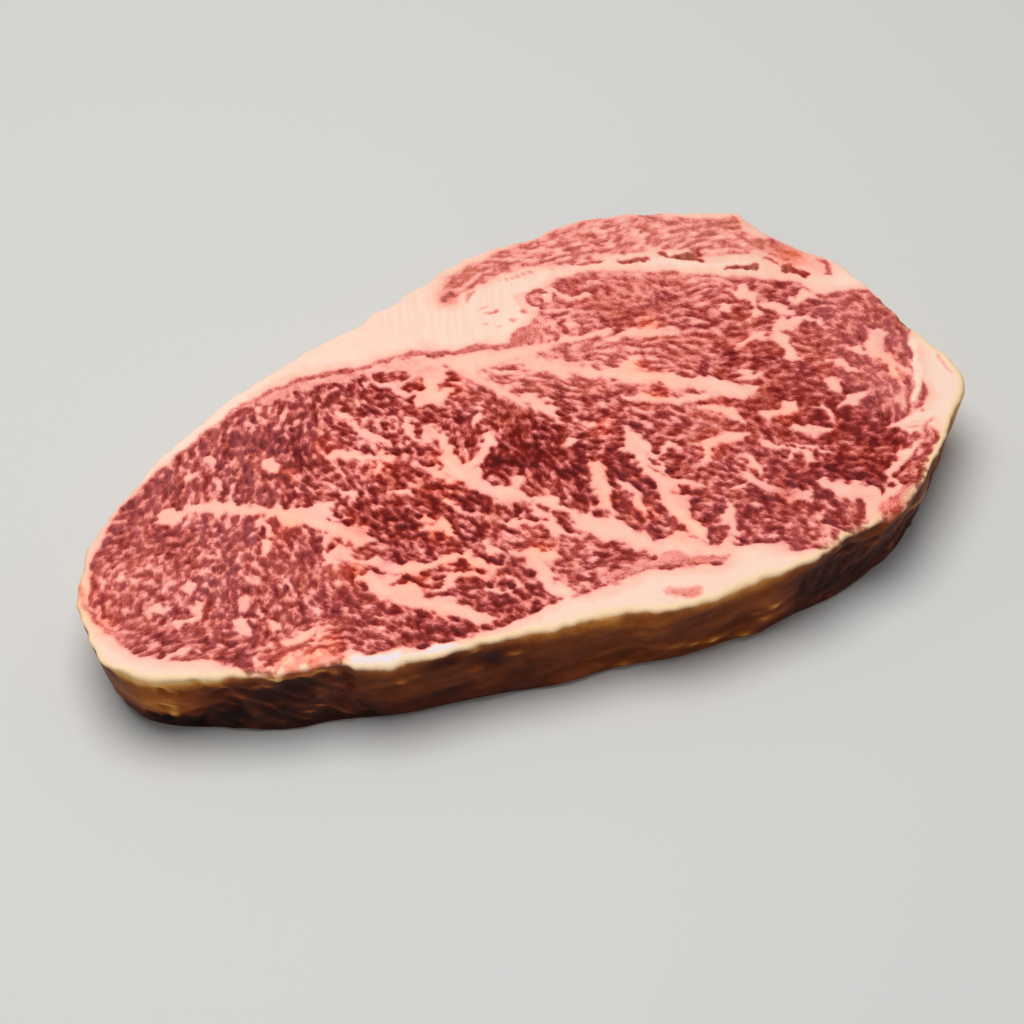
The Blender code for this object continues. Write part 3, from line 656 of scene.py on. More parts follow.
def warped(sheet, amounts, seed):
    """The sheet's places, each moved by noise: pairs of amount and size of the wander."""
    x, y = sheet.x.copy(), sheet.y.copy()
    for k, (amount, size) in enumerate(amounts):
        x += amount * sheet.noise(size, seed + 2 * k)
        y += amount * sheet.noise(size, seed + 2 * k + 1)
    return x, y


def marbling(sheet):
    """Fields over the cut face: how fat each place looks, its tone, its painted sheen and tan, and glow.
    """
    rows = []
    for x, y, angle, stretch, extra, dark, sheen_and_tan in GRAIN:
        double = math.radians(2 * angle)
        rows.append((x, y, math.cos(double), math.sin(double), stretch, extra, dark, sheen_and_tan))
    cos, sin, stretch, extra, dark, sheen_and_tan = spread_over(sheet.x, sheet.y, rows, GRAIN_REACH)
    angle = 0.5 * np.arctan2(sin, cos) + 0.3 * sheet.noise(10, 11)
    shares = sheet.directions(angle)

    flecked = np.zeros(sheet.shape)
    streaked = np.zeros(sheet.shape)
    for across, along, seed, rounds, gain, width, in_net, in_streaks in FLECKS:
        flecks = sheet.grain(shares, across, along, seed, rounds, gain, width)
        flecked += in_net * flecks
        streaked += in_streaks * flecks

    # Fine fat round bundles of two sizes, which comes and goes
    cell_stretch = np.clip(0.75 + 0.3 * stretch, 1, 1.7)
    netted = 0.68 * unit(flecked)
    tone = np.zeros(sheet.shape)
    for spacing, seed, wander, wander_seed, lumps, plenty_seed, limit, of_extra, thin, growth, \
            in_net, in_tone in BUNDLES:
        x, y = warped(sheet, wander, wander_seed)
        border, tones = sheet.cells(x, y, angle, spacing, cell_stretch, seed)
        plenty = 0.7 * sheet.noise(lumps, plenty_seed) + 0.5 * sheet.noise(lumps / 2, plenty_seed + 1)
        plenty = smoothstep(-limit, limit, plenty + of_extra * extra)
        netted += in_net * np.exp(-((border / (thin + growth * plenty)) ** 2)) * (0.25 + plenty)
        tone += in_tone * (tones - 0.5)
    streaky = np.clip((stretch - 1.9) / 0.8, 0, 0.85)
    pattern = unit(netted) * (1 - streaky) + unit(streaked) * streaky
    strength, fatter = spread_over(sheet.x, sheet.y, CONTRAST, CONTRAST_REACH)
    fat = strength * (0.85 * pattern + 0.22 * np.tanh(3 * pattern)) + fatter
    fat += 0.8 * extra + 0.25 * sheet.noise(16, 74) - 0.5 * dark

    # Seams
    x, y = warped(sheet, [(0.7, 5), (0.35, 2.0)], 31)
    uneven = np.clip(1 + 0.20 * sheet.noise(6, 35) + 0.12 * sheet.noise(2.5, 36), 0.5, 1.5)
    seam = stroke_field(sheet, x, y, SEAMS, SEAM_SLIMNESS * uneven, SEAM_TAPER)
    frayed = seam + SEAM_FRAYING * pattern
    share = smoothstep(-1.0, 0.6, frayed)
    fat = fat * (1 - 0.88 * share) + (2.05 + 0.35 * np.clip(seam, 0, 3)) * share
    fat += 0.40 * smoothstep(-0.9, 0.0, frayed) * (1 - smoothstep(0, 0.8, frayed))

    # Fat along the edges
    x, y = warped(sheet, [(0.5, 5), (0.25, 2.0)], 41)
    coarse = Sheet(sheet.low_x, -sheet.low_x, sheet.low_y, -sheet.low_y, 1.0)
    zone = np.full(sheet.shape, -50.0, np.float32)
    for knots in (CAP_FAT, NARROW_END_FAT, BELLY_FAT):
        zone = np.maximum(zone, coarse.sample(area_field(coarse, knots), x, y))
    zone = np.minimum(zone, -coarse.sample(area_field(coarse, CAP_MUSCLE), x, y))
    share = smoothstep(-0.9, 0.6, zone)
    fat = fat * (1 - 0.9 * share) + (2.6 + 0.34 * np.clip(zone, 0, 4)) * share
    depth = coarse.sample(area_field(coarse, SEAM_FAT), x, y)
    share = smoothstep(-0.8, 0.8, depth)
    fat = fat * (1 - 0.9 * share) + (2.0 + 0.35 * np.clip(depth, 0, 3)) * share
    for place_x, place_y, reach, amount in PATCHES:
        fat += amount * np.exp(-((sheet.x - place_x) ** 2 + (sheet.y - place_y) ** 2) / reach**2)

    # Marks
    x, y = warped(sheet, [(0.35, 3), (0.2, 1.3)], 45)
    for level, width, knots in MARKS:
        mark = stroke_field(sheet, x, y, [(width, knots)], uneven, MARK_TAPER, far=1.0)
        share = smoothstep(-0.35, 0.30, mark)
        fat = fat * (1 - share) + (level + MARK_ROUGHNESS * pattern) * share

    tone += 0.35 * sheet.noise(5, 91) + 0.2 * sheet.noise(1.5, 92)
    glow = np.zeros(sheet.shape, np.float32)
    for x, y, reach in GLOWS:
        glow += np.exp(-((sheet.x - x) ** 2 + (sheet.y - y) ** 2) / reach**2)
    glow += 0.6 * smoothstep(0.6, 1.8, sheet.noise(9, 76)) * smoothstep(-4.0, -0.5, seam)
    return {
        "grain_cos": np.cos(2 * angle),
        "grain_sin": np.sin(2 * angle),
        "fat": fat,
        "tone": np.clip(tone, -1, 1),
        "sheen_and_tan": np.clip(sheen_and_tan * (1 + 0.8 * sheet.streaks(SCRATCH_ANGLE, 0.24, 3.2, 94)), -1, 2),
        "glow": np.clip(glow, 0, 1),
    }


# ---------------------------------------------------------------------------------------- side

# How the side looks, by place on the rim: skin just under the rim, half way down and at the foot,
# from 0, dark flesh, through brown membrane to 1, cream fat; and how much bare flesh shows
# On the front the values are kept low, so that the front of the side stands darker than the back: partly
# its own brown membrane and flesh, partly painted shade.
SIDE_LOOKS = [
    (-135, -15, 0.86, 0.48, 0.20, 0.0), (-128, -36, 0.92, 0.50, 0.20, 0.0),
    (-117, -43, 0.94, 0.60, 0.06, 0.1), (-105, -49, 0.84, 0.32, 0.04, 0.5),
    (-92, -52, 0.30, 0.04, 0.03, 1.0), (-80, -56, 0.26, 0.04, 0.03, 1.0),
    (-70, -60, 0.62, 0.44, 0.12, 0.1), (-60, -62, 0.66, 0.44, 0.24, 0.0),
    (-50, -64, 0.44, 0.35, 0.25, 0.0), (-38, -66, 0.48, 0.37, 0.26, 0.0),
    (-25, -67, 0.62, 0.34, 0.33, 0.0), (-12, -70, 0.66, 0.38, 0.38, 0.0),
    (0, -71, 0.70, 0.44, 0.44, 0.0), (12, -75, 0.70, 0.42, 0.44, 0.0),
    (25, -77, 0.58, 0.42, 0.42, 0.0), (38, -77, 0.68, 0.36, 0.38, 0.0),
    (50, -77, 0.70, 0.44, 0.36, 0.0), (60, -76, 0.52, 0.18, 0.18, 0.3),
    (70, -75, 0.36, 0.10, 0.08, 1.0), (80, -73, 0.36, 0.12, 0.08, 1.0),
    (92, -70, 0.34, 0.10, 0.08, 1.0), (104, -64, 0.38, 0.30, 0.14, 0.8),
    (112, -57, 0.46, 0.34, 0.20, 0.4), (120, -48, 0.52, 0.42, 0.28, 0.1),
    (130, -38, 0.84, 0.74, 0.56, 0.0), (135, -20, 0.95, 0.90, 0.80, 0.0),
    (130, 10, 0.97, 0.94, 0.88, 0.0), (118, 33, 0.93, 0.88, 0.80, 0.0),
    (107, 56, 0.78, 0.66, 0.54, 0.1), (90, 66, 0.74, 0.62, 0.52, 0.2),
    (60, 75, 0.80, 0.70, 0.62, 0.1), (20, 75, 0.93, 0.88, 0.84, 0.0),
    (-10, 67, 0.98, 0.95, 0.90, 0.0), (-50, 55, 0.98, 0.95, 0.90, 0.0),
    (-90, 37, 0.97, 0.94, 0.90, 0.0), (-118, 18, 0.96, 0.91, 0.84, 0.0),
    (-131, 2, 0.89, 0.72, 0.46, 0.0),
]
SIDE_REACH_ALONG = 7.0
# Slant of the bare flesh's fibres at the two ends, in radians
FIBRE_SLANT = 0.5

# Lumps, hollows and scraps on the front of the side: place along the length, height, reach along,
# reach up, lift, change of skin
SIDE_SPOTS = [
    # Narrow end: a tag of fat, the hollow under the fat, darkened with painted shade, and its pale
    # threads
    (-131, 12, 1.8, 5.0, 0.8, 0.26), (-115, 5, 9.0, 4.5, -0.8, -0.14), (-119, 9, 1.2, 3.0, 0.5, 0.36),
    (-112, 8.5, 3.0, 1.2, 0.5, 0.40), (-107, 11, 2.4, 1.0, 0.4, 0.40), (-103, 17, 3.0, 0.8, 0.4, 0.34),
    (-110, 5, 1.4, 2.0, 0.4, 0.26),
    # Torn, glowing scraps along the rim over the bare flesh
    (-91, 26.5, 3.0, 1.2, 0.7, 0.54), (-86, 25.5, 2.4, 1.4, 1.0, 0.66), (-81, 26, 2.6, 1.4, 0.8, 0.52),
    (-76.5, 24, 1.6, 2.0, 0.9, 0.40), (-96, 22, 3.0, 0.9, 0.5, 0.40), (-92, 12.5, 2.4, 0.8, 0.4, 0.36),
    (-88.5, 10, 2.0, 0.8, 0.4, 0.42), (-85, 8, 2.6, 0.8, 0.4, 0.42), (-83, 17, 3.0, 0.6, 0.3, 0.24),
    (-90, 17, 1.6, 0.7, 0.3, 0.28), (-74, 7, 1.6, 3.0, 0.4, 0.24), (-98, 9, 1.2, 1.8, 0.3, 0.28),
    # Knobs and hollows of the membrane; the hollows are darkened with painted shade
    (-60, 20, 2.0, 1.6, 1.0, 0.30), (-56, 21, 1.4, 1.2, 0.7, 0.22), (-63, 14, 3.0, 3.0, -0.4, -0.10),
    # Painted shadow: the dark line just under the rim, at -45 along the length
    (-45, 24, 8.0, 1.4, -0.3, -0.14), (-39, 26.2, 2.6, 1.0, 0.8, 0.30),
    (-28, 21, 2.2, 1.1, 0.9, 0.40), (-33, 19, 5.0, 2.2, -0.6, -0.20), (-23, 15, 3.0, 3.0, -0.4, -0.10),
    (-38, 18, 3.0, 1.6, 0.5, 0.16), (-46, 8, 8.0, 4.0, 0.3, 0.06), (-8, 12, 4.0, 6.0, -0.4, -0.04),
    # Scraps at its foot, and hollows there darkened with painted shade
    (4, 3, 2.4, 1.2, 0.7, 0.24), (12, 10, 3.0, 1.2, 0.5, 0.14), (19, 8.5, 3.4, 1.2, 0.7, 0.26),
    (24, 6.5, 2.0, 1.0, 0.6, 0.34), (31, 6, 3.0, 1.1, 0.9, 0.40), (40, 3.5, 2.6, 1.2, 0.8, 0.34),
    (40, 14, 4.0, 3.0, -0.4, -0.14), (46, 9, 2.0, 1.0, 0.6, 0.34), (49, 13.5, 1.8, 1.2, 0.7, 0.36),
    (43, 12.4, 2.0, 0.8, 0.4, 0.24), (58, 12, 3.0, 5.0, -0.5, -0.12),
    # Flesh beyond it
    (73, 20, 5.0, 1.1, 0.4, 0.34), (84, 19, 4.0, 0.9, 0.4, 0.30), (98, 20, 5.0, 1.2, 0.5, 0.44),
    (86, 24, 3.0, 1.0, 0.3, 0.10), (78, 13, 3.0, 0.8, 0.3, 0.20),
]

# Notches and tongues of the rim: place, reach, amount outward
RIM_NOTCHES = [
    (-14, -70, 2.0, -1.0), (-104, -49, 3.0, -0.8), (-84, -55, 4.0, 0.5), (-71, -60, 2.0, 0.8),
    (50, -77, 3.0, 0.4), (60, -76, 4.0, 0.6), (76, -74, 3.0, -0.8), (98, -67, 3.0, -1.2),
    (-38, -66, 3.0, -1.0), (116, -52, 5.0, 0.8), (-92, 36, 13.0, 1.1), (-70, 45, 10.0, 0.8),
]


def cad_surface():
    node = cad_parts[CAD_NODE]
    points = [node.matrix_world @ vertex.co / MM for vertex in node.data.vertices]
    faces = [tuple(face.vertices) for face in node.data.polygons]
    return BVHTree.FromPolygons(points, faces)


def rim_line(surface, count):
    """Evenly spaced points round the side at half height, the way it faces, and its length."""
    height = THICKNESS / 2
    line = []
    for k in range(RIM_RAYS):
        angle = 2 * math.pi * k / RIM_RAYS
        way = Vector((math.cos(angle), math.sin(angle), 0))
        hit = surface.ray_cast(Vector((0, 0, height)), way)[0]
        line.append((hit.x, hit.y))
    line = np.array(line + line[:1])
    starts = np.concatenate([[0], np.cumsum(np.hypot(*np.diff(line, axis=0).T))])
    places = starts[-1] * np.arange(count) / count
    points = np.stack([np.interp(places, starts, line[:, k]) for k in (0, 1)], 1)
    along = np.roll(points, -RIM_SMOOTHING, 0) - np.roll(points, RIM_SMOOTHING, 0)
    outward = np.stack([along[:, 1], -along[:, 0]], 1)
    return points, outward / np.hypot(*outward.T)[:, None], places, starts[-1]


def side_rings(surface, points, outward, heights):
    """Rings of points on the CAD side, one for each height."""
    rings = []
    for height in heights:
        ring = []
        for (x, y), (way_x, way_y) in zip(points, outward):
            start = Vector((x - way_x * CAST_DEPTH, y - way_y * CAST_DEPTH, height))
            hit = surface.ray_cast(start, Vector((way_x, way_y, 0)))[0]
            ring.append((hit.x, hit.y))
        rings.append(ring)
    return np.array(rings)


def side_fields(places, length, points, outward, heights):
    """Looks and relief of the side: arrays with a row for each height and a column for each place."""
    sheet = Sheet(0, length, 0, SIDE_REACH, PITCH)
    x, y = points.T
    under_rim, half_way, foot, bare = spread_over(x, y, SIDE_LOOKS, SIDE_REACH_ALONG)
    grid_s, grid_z = np.meshgrid(places, heights)

    def sampled(values):
        return sheet.sample(values, grid_s, grid_z)

    level = grid_z / THICKNESS
    patches = sampled(sheet.noise(11, 201))
    folds = sampled(sheet.streaks(0.12, 1.0, 5.0, 202))
    skin = foot + (half_way - foot) * smoothstep(0.26, 0.46, level + 0.05 * patches)
    skin += (under_rim - half_way) * smoothstep(0.76, 0.98, level)
    unevenness = 0.035 * patches + 0.035 * folds + 0.02 * sampled(sheet.noise(2.2, 213))
    skin += unevenness * np.clip(1.5 - 1.25 * skin, 0.3, 1)
    relief = 0.30 * patches + 0.13 * folds + 0.10 * sampled(sheet.noise(4, 203))
    relief += 0.04 * sampled(sheet.noise(1.8, 204))

    # Bare flesh: torn fibres that slant up to the left on the narrow end and to the right beyond
    slant = FIBRE_SLANT * smoothstep(-40, 40, x) - FIBRE_SLANT * smoothstep(40, -40, x)
    wander = 0.35 * sheet.noise(9, 205)
    shares = sheet.directions(np.interp(sheet.x, places, slant) + wander)
    fibres = sampled(sheet.grain(shares, 0.5, 3.0, 206, 3, 1.4, 2.2))
    edge = 0.25 * sampled(sheet.noise(6, 207)) + 0.15 * sampled(sheet.noise(2.5, 208))
    flesh = smoothstep(0.35, 0.62, bare + edge * (bare > 0.02))
    skin += flesh * (0.03 * fibres + 0.16 * np.maximum(fibres - 0.9, 0))
    relief += flesh * (0.38 * fibres - 0.9 * smoothstep(1.0, 0.75, level))

    front = outward[:, 1] < 0
    # Each spot lifts or sinks the side and changes its skin; in the hollows the darker skin is painted
    # shade, and the dark line under the rim at -45 is a painted shadow
    for place, height, along, up, lift, change in SIDE_SPOTS:
        wander = 0.25 * sampled(sheet.noise(3, 209))
        apart = ((x - place) / along) ** 2 + ((grid_z - height) / up) ** 2 + wander
        share = np.exp(-np.clip(apart, 0, 50)) * front
        relief += lift * share
        skin += change * share

    ragged = 0.30 * sampled(sheet.noise(6, 210)) + 0.16 * sampled(sheet.noise(2.4, 211))
    for place_x, place_y, reach, amount in RIM_NOTCHES:
        ragged += amount * np.exp(-((x - place_x) ** 2 + (y - place_y) ** 2) / reach**2)
    near_rim = smoothstep(0.62, 1.0, level)
    at_ends = smoothstep(0.0, 0.12, level) * (1 - smoothstep(0.93, 1.0, level))
    relief = relief * at_ends + ragged * near_rim
    slant = np.broadcast_to(slant, skin.shape)
    stains = smoothstep(0.4, 1.6, sampled(sheet.noise(7, 212))) * smoothstep(0.9, 0.6, skin)
    rosy = flesh * 0.12 + 0.12 * stains * (1 - level)
    return {"skin": skin, "relief": relief, "rosy": rosy, "flesh": flesh, "slant": slant}


def within(ring, x, y):
    """Which of the places lie inside a closed ring, and how far each is from its points."""
    inside = np.zeros(x.shape, bool)
    nearest = np.full(x.shape, 1e9)
    for a, b in zip(ring, np.roll(ring, -1, 0)):
        if a[1] != b[1]:
            crossing = a[0] + (y - a[1]) * (b[0] - a[0]) / (b[1] - a[1])
            inside ^= ((a[1] > y) != (b[1] > y)) & (x < crossing)
        np.minimum(nearest, (x - a[0]) ** 2 + (y - a[1]) ** 2, out=nearest)
    return inside, np.sqrt(nearest)


def grid_inside(ring, spacing, clearance):
    """Points of a triangular grid inside a closed ring and clear of it, and their distance to it."""
    low, high = ring.min(0), ring.max(0)
    row_step = spacing * math.sqrt(3) / 2
    rows = np.arange(low[1], high[1], row_step)
    columns = np.arange(low[0], high[0], spacing)
    x, y = np.meshgrid(columns, rows)
    x = (x + (np.arange(len(rows)) % 2)[:, None] * spacing / 2).ravel()
    y = y.ravel()
    inside, apart = within(ring, x, y)
    keep = inside & (apart > clearance)
    return np.stack([x[keep], y[keep]], 1), apart[keep]


def face_triangles(ring, inner):
    """Triangles of a cut face, from its ring and the points inside, in that order."""
    places = np.vstack([ring, inner])
    count = len(ring)
    edges = [(i, (i + 1) % count) for i in range(count)]
    found = delaunay_2d_cdt([Vector(place) for place in places.tolist()], edges, [], 1, 1e-5, True)
    origins = [source[0] for source in found[3]]
    triangles = np.array([[origins[i] for i in face] for face in found[2]])
    # The outline's hollows come filled in as well. Triangles there are left out: they run
    # against the outline, or lie outside it
    hollow = (triangles < count).all(1)
    corners = triangles[hollow]
    ahead = (np.roll(corners, -1, 1) - corners) % count
    against = (ahead == count - 1).any(1)
    outside = ~within(ring, *places[corners].mean(1).T)[0]
    hollow[hollow] = against | (outside & (ahead != 1).all(1))
    return triangles[~hollow]


# Relief of the cut face in mm: fat over lean, single flecks, slow swells and ripples
FAT_RISE = 0.20
FLECK_RISE = 0.06
SWELL_RISE = 0.22
RIPPLE_RISE = 0.07


def face_relief(sheet, fields, x, y):
    """How far the top stands up or sinks: fat a little proud of the lean, on slow swells."""
    fat = sheet.sample(fields["fat"], x, y)
    swell = SWELL_RISE * sheet.sample(sheet.noise(38, 301), x, y)
    swell += RIPPLE_RISE * sheet.sample(sheet.noise(9, 302), x, y)
    return FAT_RISE * smoothstep(0.2, 1.8, fat) + FLECK_RISE * np.clip(fat, -1.5, 1.5) + swell


# How far the base's marbling is moved from the top's, in mm
BASE_DRIFT = 2.5

# The bake's map: its size and margin in pixels, and the scales of the two cut faces on it in
# pixels per mm. STRIP_ROOM leaves room for the side's rounded edges, and STRIP_FILL fits into it
MAP_SIZE = 1024
MAP_MARGIN = 10
TOP_SCALE = 3.55
BASE_SCALE = 1.5
STRIP_ROOM = 1.08
STRIP_FILL = 0.98


def place_on_map(x, y, scale, corner):
    """Places on the bake's map, from mm, a scale in pixels per mm and the corner in pixels."""
    return np.stack([corner[0] + x * scale, corner[1] + y * scale], -1) / MAP_SIZE


def build_slice():
    surface = cad_surface()
    points, outward, places, length = rim_line(surface, RIM_POINTS)
    upper = [THICKNESS - depth for depth in EDGE_DEPTHS]
    step = (upper[-1] - FOOT_HEIGHTS[0]) / SIDE_STEPS
    between = [upper[-1] - step * k for k in range(1, SIDE_STEPS)]
    heights = np.array(upper + between + FOOT_HEIGHTS)
    rings = side_rings(surface, points, outward, heights)
    side = side_fields(places, length, points, outward, heights)
    rings = rings + outward[None] * side["relief"][..., None]

    sheet = Sheet(-FACE_REACH_X, FACE_REACH_X, -FACE_REACH_Y, FACE_REACH_Y, PITCH)
    fields = marbling(sheet)

    top_inner, top_apart = grid_inside(rings[0], TOP_SPACING, 0.75 * TOP_SPACING)
    base_inner, base_apart = grid_inside(rings[-1], BASE_SPACING, 0.6 * BASE_SPACING)
    levels = len(heights)
    count = RIM_POINTS
    side_count = levels * count
    top_count = len(top_inner)

    flat = np.vstack([rings.reshape(-1, 2), top_inner, base_inner])
    z = np.concatenate([
        np.repeat(heights, count),
        np.full(top_count, THICKNESS),
        np.zeros(len(base_inner)),
    ])
    x, y = flat.T
    near_top = np.zeros(len(z))
    near_top[:side_count] = np.repeat(1 - smoothstep(0.0, 4.0, THICKNESS - heights), count)
    near_top[side_count:side_count + top_count] = 1
    relief = face_relief(sheet, fields, x, y)
    z = z + near_top * relief

    # Triangles: the top, the side, the base
    ring_ids = np.arange(count)
    top_ids = np.concatenate([ring_ids, side_count + np.arange(top_count)])
    top = top_ids[face_triangles(rings[0], top_inner)]
    last = (levels - 1) * count
    base_ids = np.concatenate([last + ring_ids, side_count + top_count + np.arange(len(base_inner))])
    base = base_ids[face_triangles(rings[-1], base_inner)][:, ::-1]
    quads = []
    for level in range(levels - 1):
        here = level * count + ring_ids
        following = level * count + np.roll(ring_ids, -1)
        quads.append(np.stack([here, here + count, following + count, following], 1))
    quads = np.vstack(quads)

    loops = np.concatenate([top.ravel(), base.ravel(), quads.ravel()])
    sizes = np.concatenate([np.full(len(top) + len(base), 3), np.full(len(quads), 4)])
    mesh = bpy.data.meshes.new(PIECE_NAME)
    mesh.vertices.add(len(z))
    mesh.vertices.foreach_set("co", (np.stack([x, y, z], 1) * MM).ravel())
    mesh.loops.add(len(loops))
    mesh.loops.foreach_set("vertex_index", loops)
    mesh.polygons.add(len(sizes))
    mesh.polygons.foreach_set("loop_start", np.concatenate([[0], np.cumsum(sizes)[:-1]]))
    mesh.polygons.foreach_set("loop_total", sizes)
    mesh.update(calc_edges=True)
    mesh.shade_smooth()

    rim_apart = np.concatenate([np.zeros(side_count), top_apart, base_apart])
    add_looks(mesh, sheet, fields, side, flat, heights, rim_apart, side_count, top_count)
    add_map(mesh, top, base, quads, flat, heights, length, count)
    return mesh


def add_looks(mesh, sheet, fields, side, flat, heights, rim_apart, side_count, top_count):
    """Stores the fields that the material reads, one value for each vertex."""
    x, y = flat.T
    total = len(x)
    # The base is the slice's other cut face: the same muscles, their flecks cut elsewhere
    base = np.arange(total) >= side_count + top_count
    look_x, look_y = x + BASE_DRIFT * base, y - BASE_DRIFT * base
    values = {name: sheet.sample(field, look_x, look_y) for name, field in fields.items()}
    depth = THICKNESS - np.repeat(heights, side["skin"].shape[1])
    onto_side = np.zeros(total)
    lip = smoothstep(0.3, 1.5, depth) * smoothstep(0.0, 0.6, THICKNESS - depth)
    onto_side[:side_count] = lip
    values["side"] = onto_side
    # Painted highlight: a bright cream line along the front rim of the top face, fading towards the back
    # and weaker where the lean glows
    values["lip"] = (1 - smoothstep(0.0, 1.5, rim_apart)) * smoothstep(20, -30, y)
    values["lip"] *= 1 - 0.8 * values["glow"]
    for name in ("skin", "rosy", "flesh", "slant"):
        field = np.zeros(total)
        field[:side_count] = side[name].ravel()
        values[name] = field
    for name, field in values.items():
        layer = mesh.attributes.new(name, "FLOAT", "POINT")
        layer.data.foreach_set("value", np.asarray(field, np.float32))


def add_map(mesh, top, base, quads, flat, heights, length, count):
    """The bake's map: the top, the side in two strips, and the base mirrored."""
    low = flat.min(0)
    size = flat.max(0) - low
    x, y = flat.T
    top_places = place_on_map(x - low[0], y - low[1], TOP_SCALE, (MAP_MARGIN, MAP_MARGIN))
    strip_scale = (MAP_SIZE - 2 * MAP_MARGIN) / (length / 2)
    strip_height = THICKNESS * STRIP_ROOM * strip_scale
    first_strip = 2 * MAP_MARGIN + size[1] * TOP_SCALE
    base_corner = first_strip + 2 * (strip_height + MAP_MARGIN)
    base_places = place_on_map(low[0] + size[0] - x, y - low[1], BASE_SCALE, (MAP_MARGIN, base_corner))

    # Down the side, distance over the rounded edges counts too
    drops = np.interp(heights, [0, 2, THICKNESS - 1.5, THICKNESS], [0, 3.0, THICKNESS, THICKNESS + 1.2])
    level, column = np.divmod(quads, count)
    first = column[:, :1]
    column = np.where((column == 0) & (first == count - 1), count, column)
    half = (first >= count // 2).astype(int)
    along = (column - half * (count // 2)) * (length / count)
    strip = np.stack([
        MAP_MARGIN + along * strip_scale,
        first_strip + half * (strip_height + MAP_MARGIN) + drops[level] * strip_scale * STRIP_FILL,
    ], -1) / MAP_SIZE
    corners = np.vstack([top_places[top.ravel()], base_places[base.ravel()], strip.reshape(-1, 2)])
    layer = mesh.uv_layers.new(name="OFBake")
    layer.uv.foreach_set("vector", corners.astype(np.float32).ravel())


# ------------------------------------------------------------------------------------ material

# Colours by how fat a place looks, as sRGB out of 255. The last stop, at 5.4, is a painted highlight:
# the white-blue shine of wet fat
FACE_COLOURS = [
    (-2.3, (94, 4, 2)), (-1.5, (116, 18, 10)), (-1.0, (135, 33, 26)), (-0.5, (157, 52, 44)),
    (0.0, (182, 75, 67)), (0.5, (211, 105, 96)), (1.0, (237, 138, 127)), (1.4, (250, 158, 146)),
    (1.9, (254, 178, 161)), (2.4, (255, 190, 169)), (3.2, (255, 203, 180)), (4.0, (255, 218, 197)),
    (4.6, (255, 220, 200)), (5.4, (241, 228, 231)),
]
SKIN_COLOURS = [
    (0.0, (14, 2, 0)), (0.12, (40, 8, 2)), (0.25, (76, 25, 4)), (0.36, (106, 43, 6)),
    (0.48, (138, 64, 14)), (0.60, (172, 94, 30)), (0.72, (212, 136, 54)), (0.84, (242, 182, 98)),
    (1.0, (255, 220, 170)),
]
# Colour of the painted sheen, a grey-purple shine on the lean; the tan after it is the lean's own
SHEEN_COLOUR = (174, 90, 94)
TAN_COLOUR = (206, 128, 100)
GLOW_TINT = (1.25, 1.0, 0.66)
# Colour of the painted highlight along the front rim of the top face
RIM_HIGHLIGHT_COLOUR = (255, 220, 168)
ROSY_COLOUR = (150, 78, 62)
WARM_TINT = (1.23, 1.55, 1.23)
COOL_TINT = (0.72, 0.58, 0.72)
# Moist sheen: roughness of fat and of lean, how strongly the surface reflects, and refraction
FAT_ROUGHNESS = 0.50
LEAN_ROUGHNESS = 0.40
SPECULAR_LEVEL = 0.14
REFRACTION = 1.4
# Light that sinks in: its share, and how far red, green and blue get, in mm
SINKING_SHARE = 0.06
SINKING_RADII = (1.0, 0.35, 0.25)
SINKING_DEPTH = 0.8
# Fine bumps: height in mm and strength
BUMP_HEIGHT = 0.25
BUMP_STRENGTH = 0.5


def linear(colour):
    """An sRGB colour out of 255 as the linear one that shaders use."""
    shares = [value / 255 for value in colour]
    return [s / 12.92 if s <= 0.04045 else ((s + 0.055) / 1.055) ** 2.4 for s in shares] + [1.0]


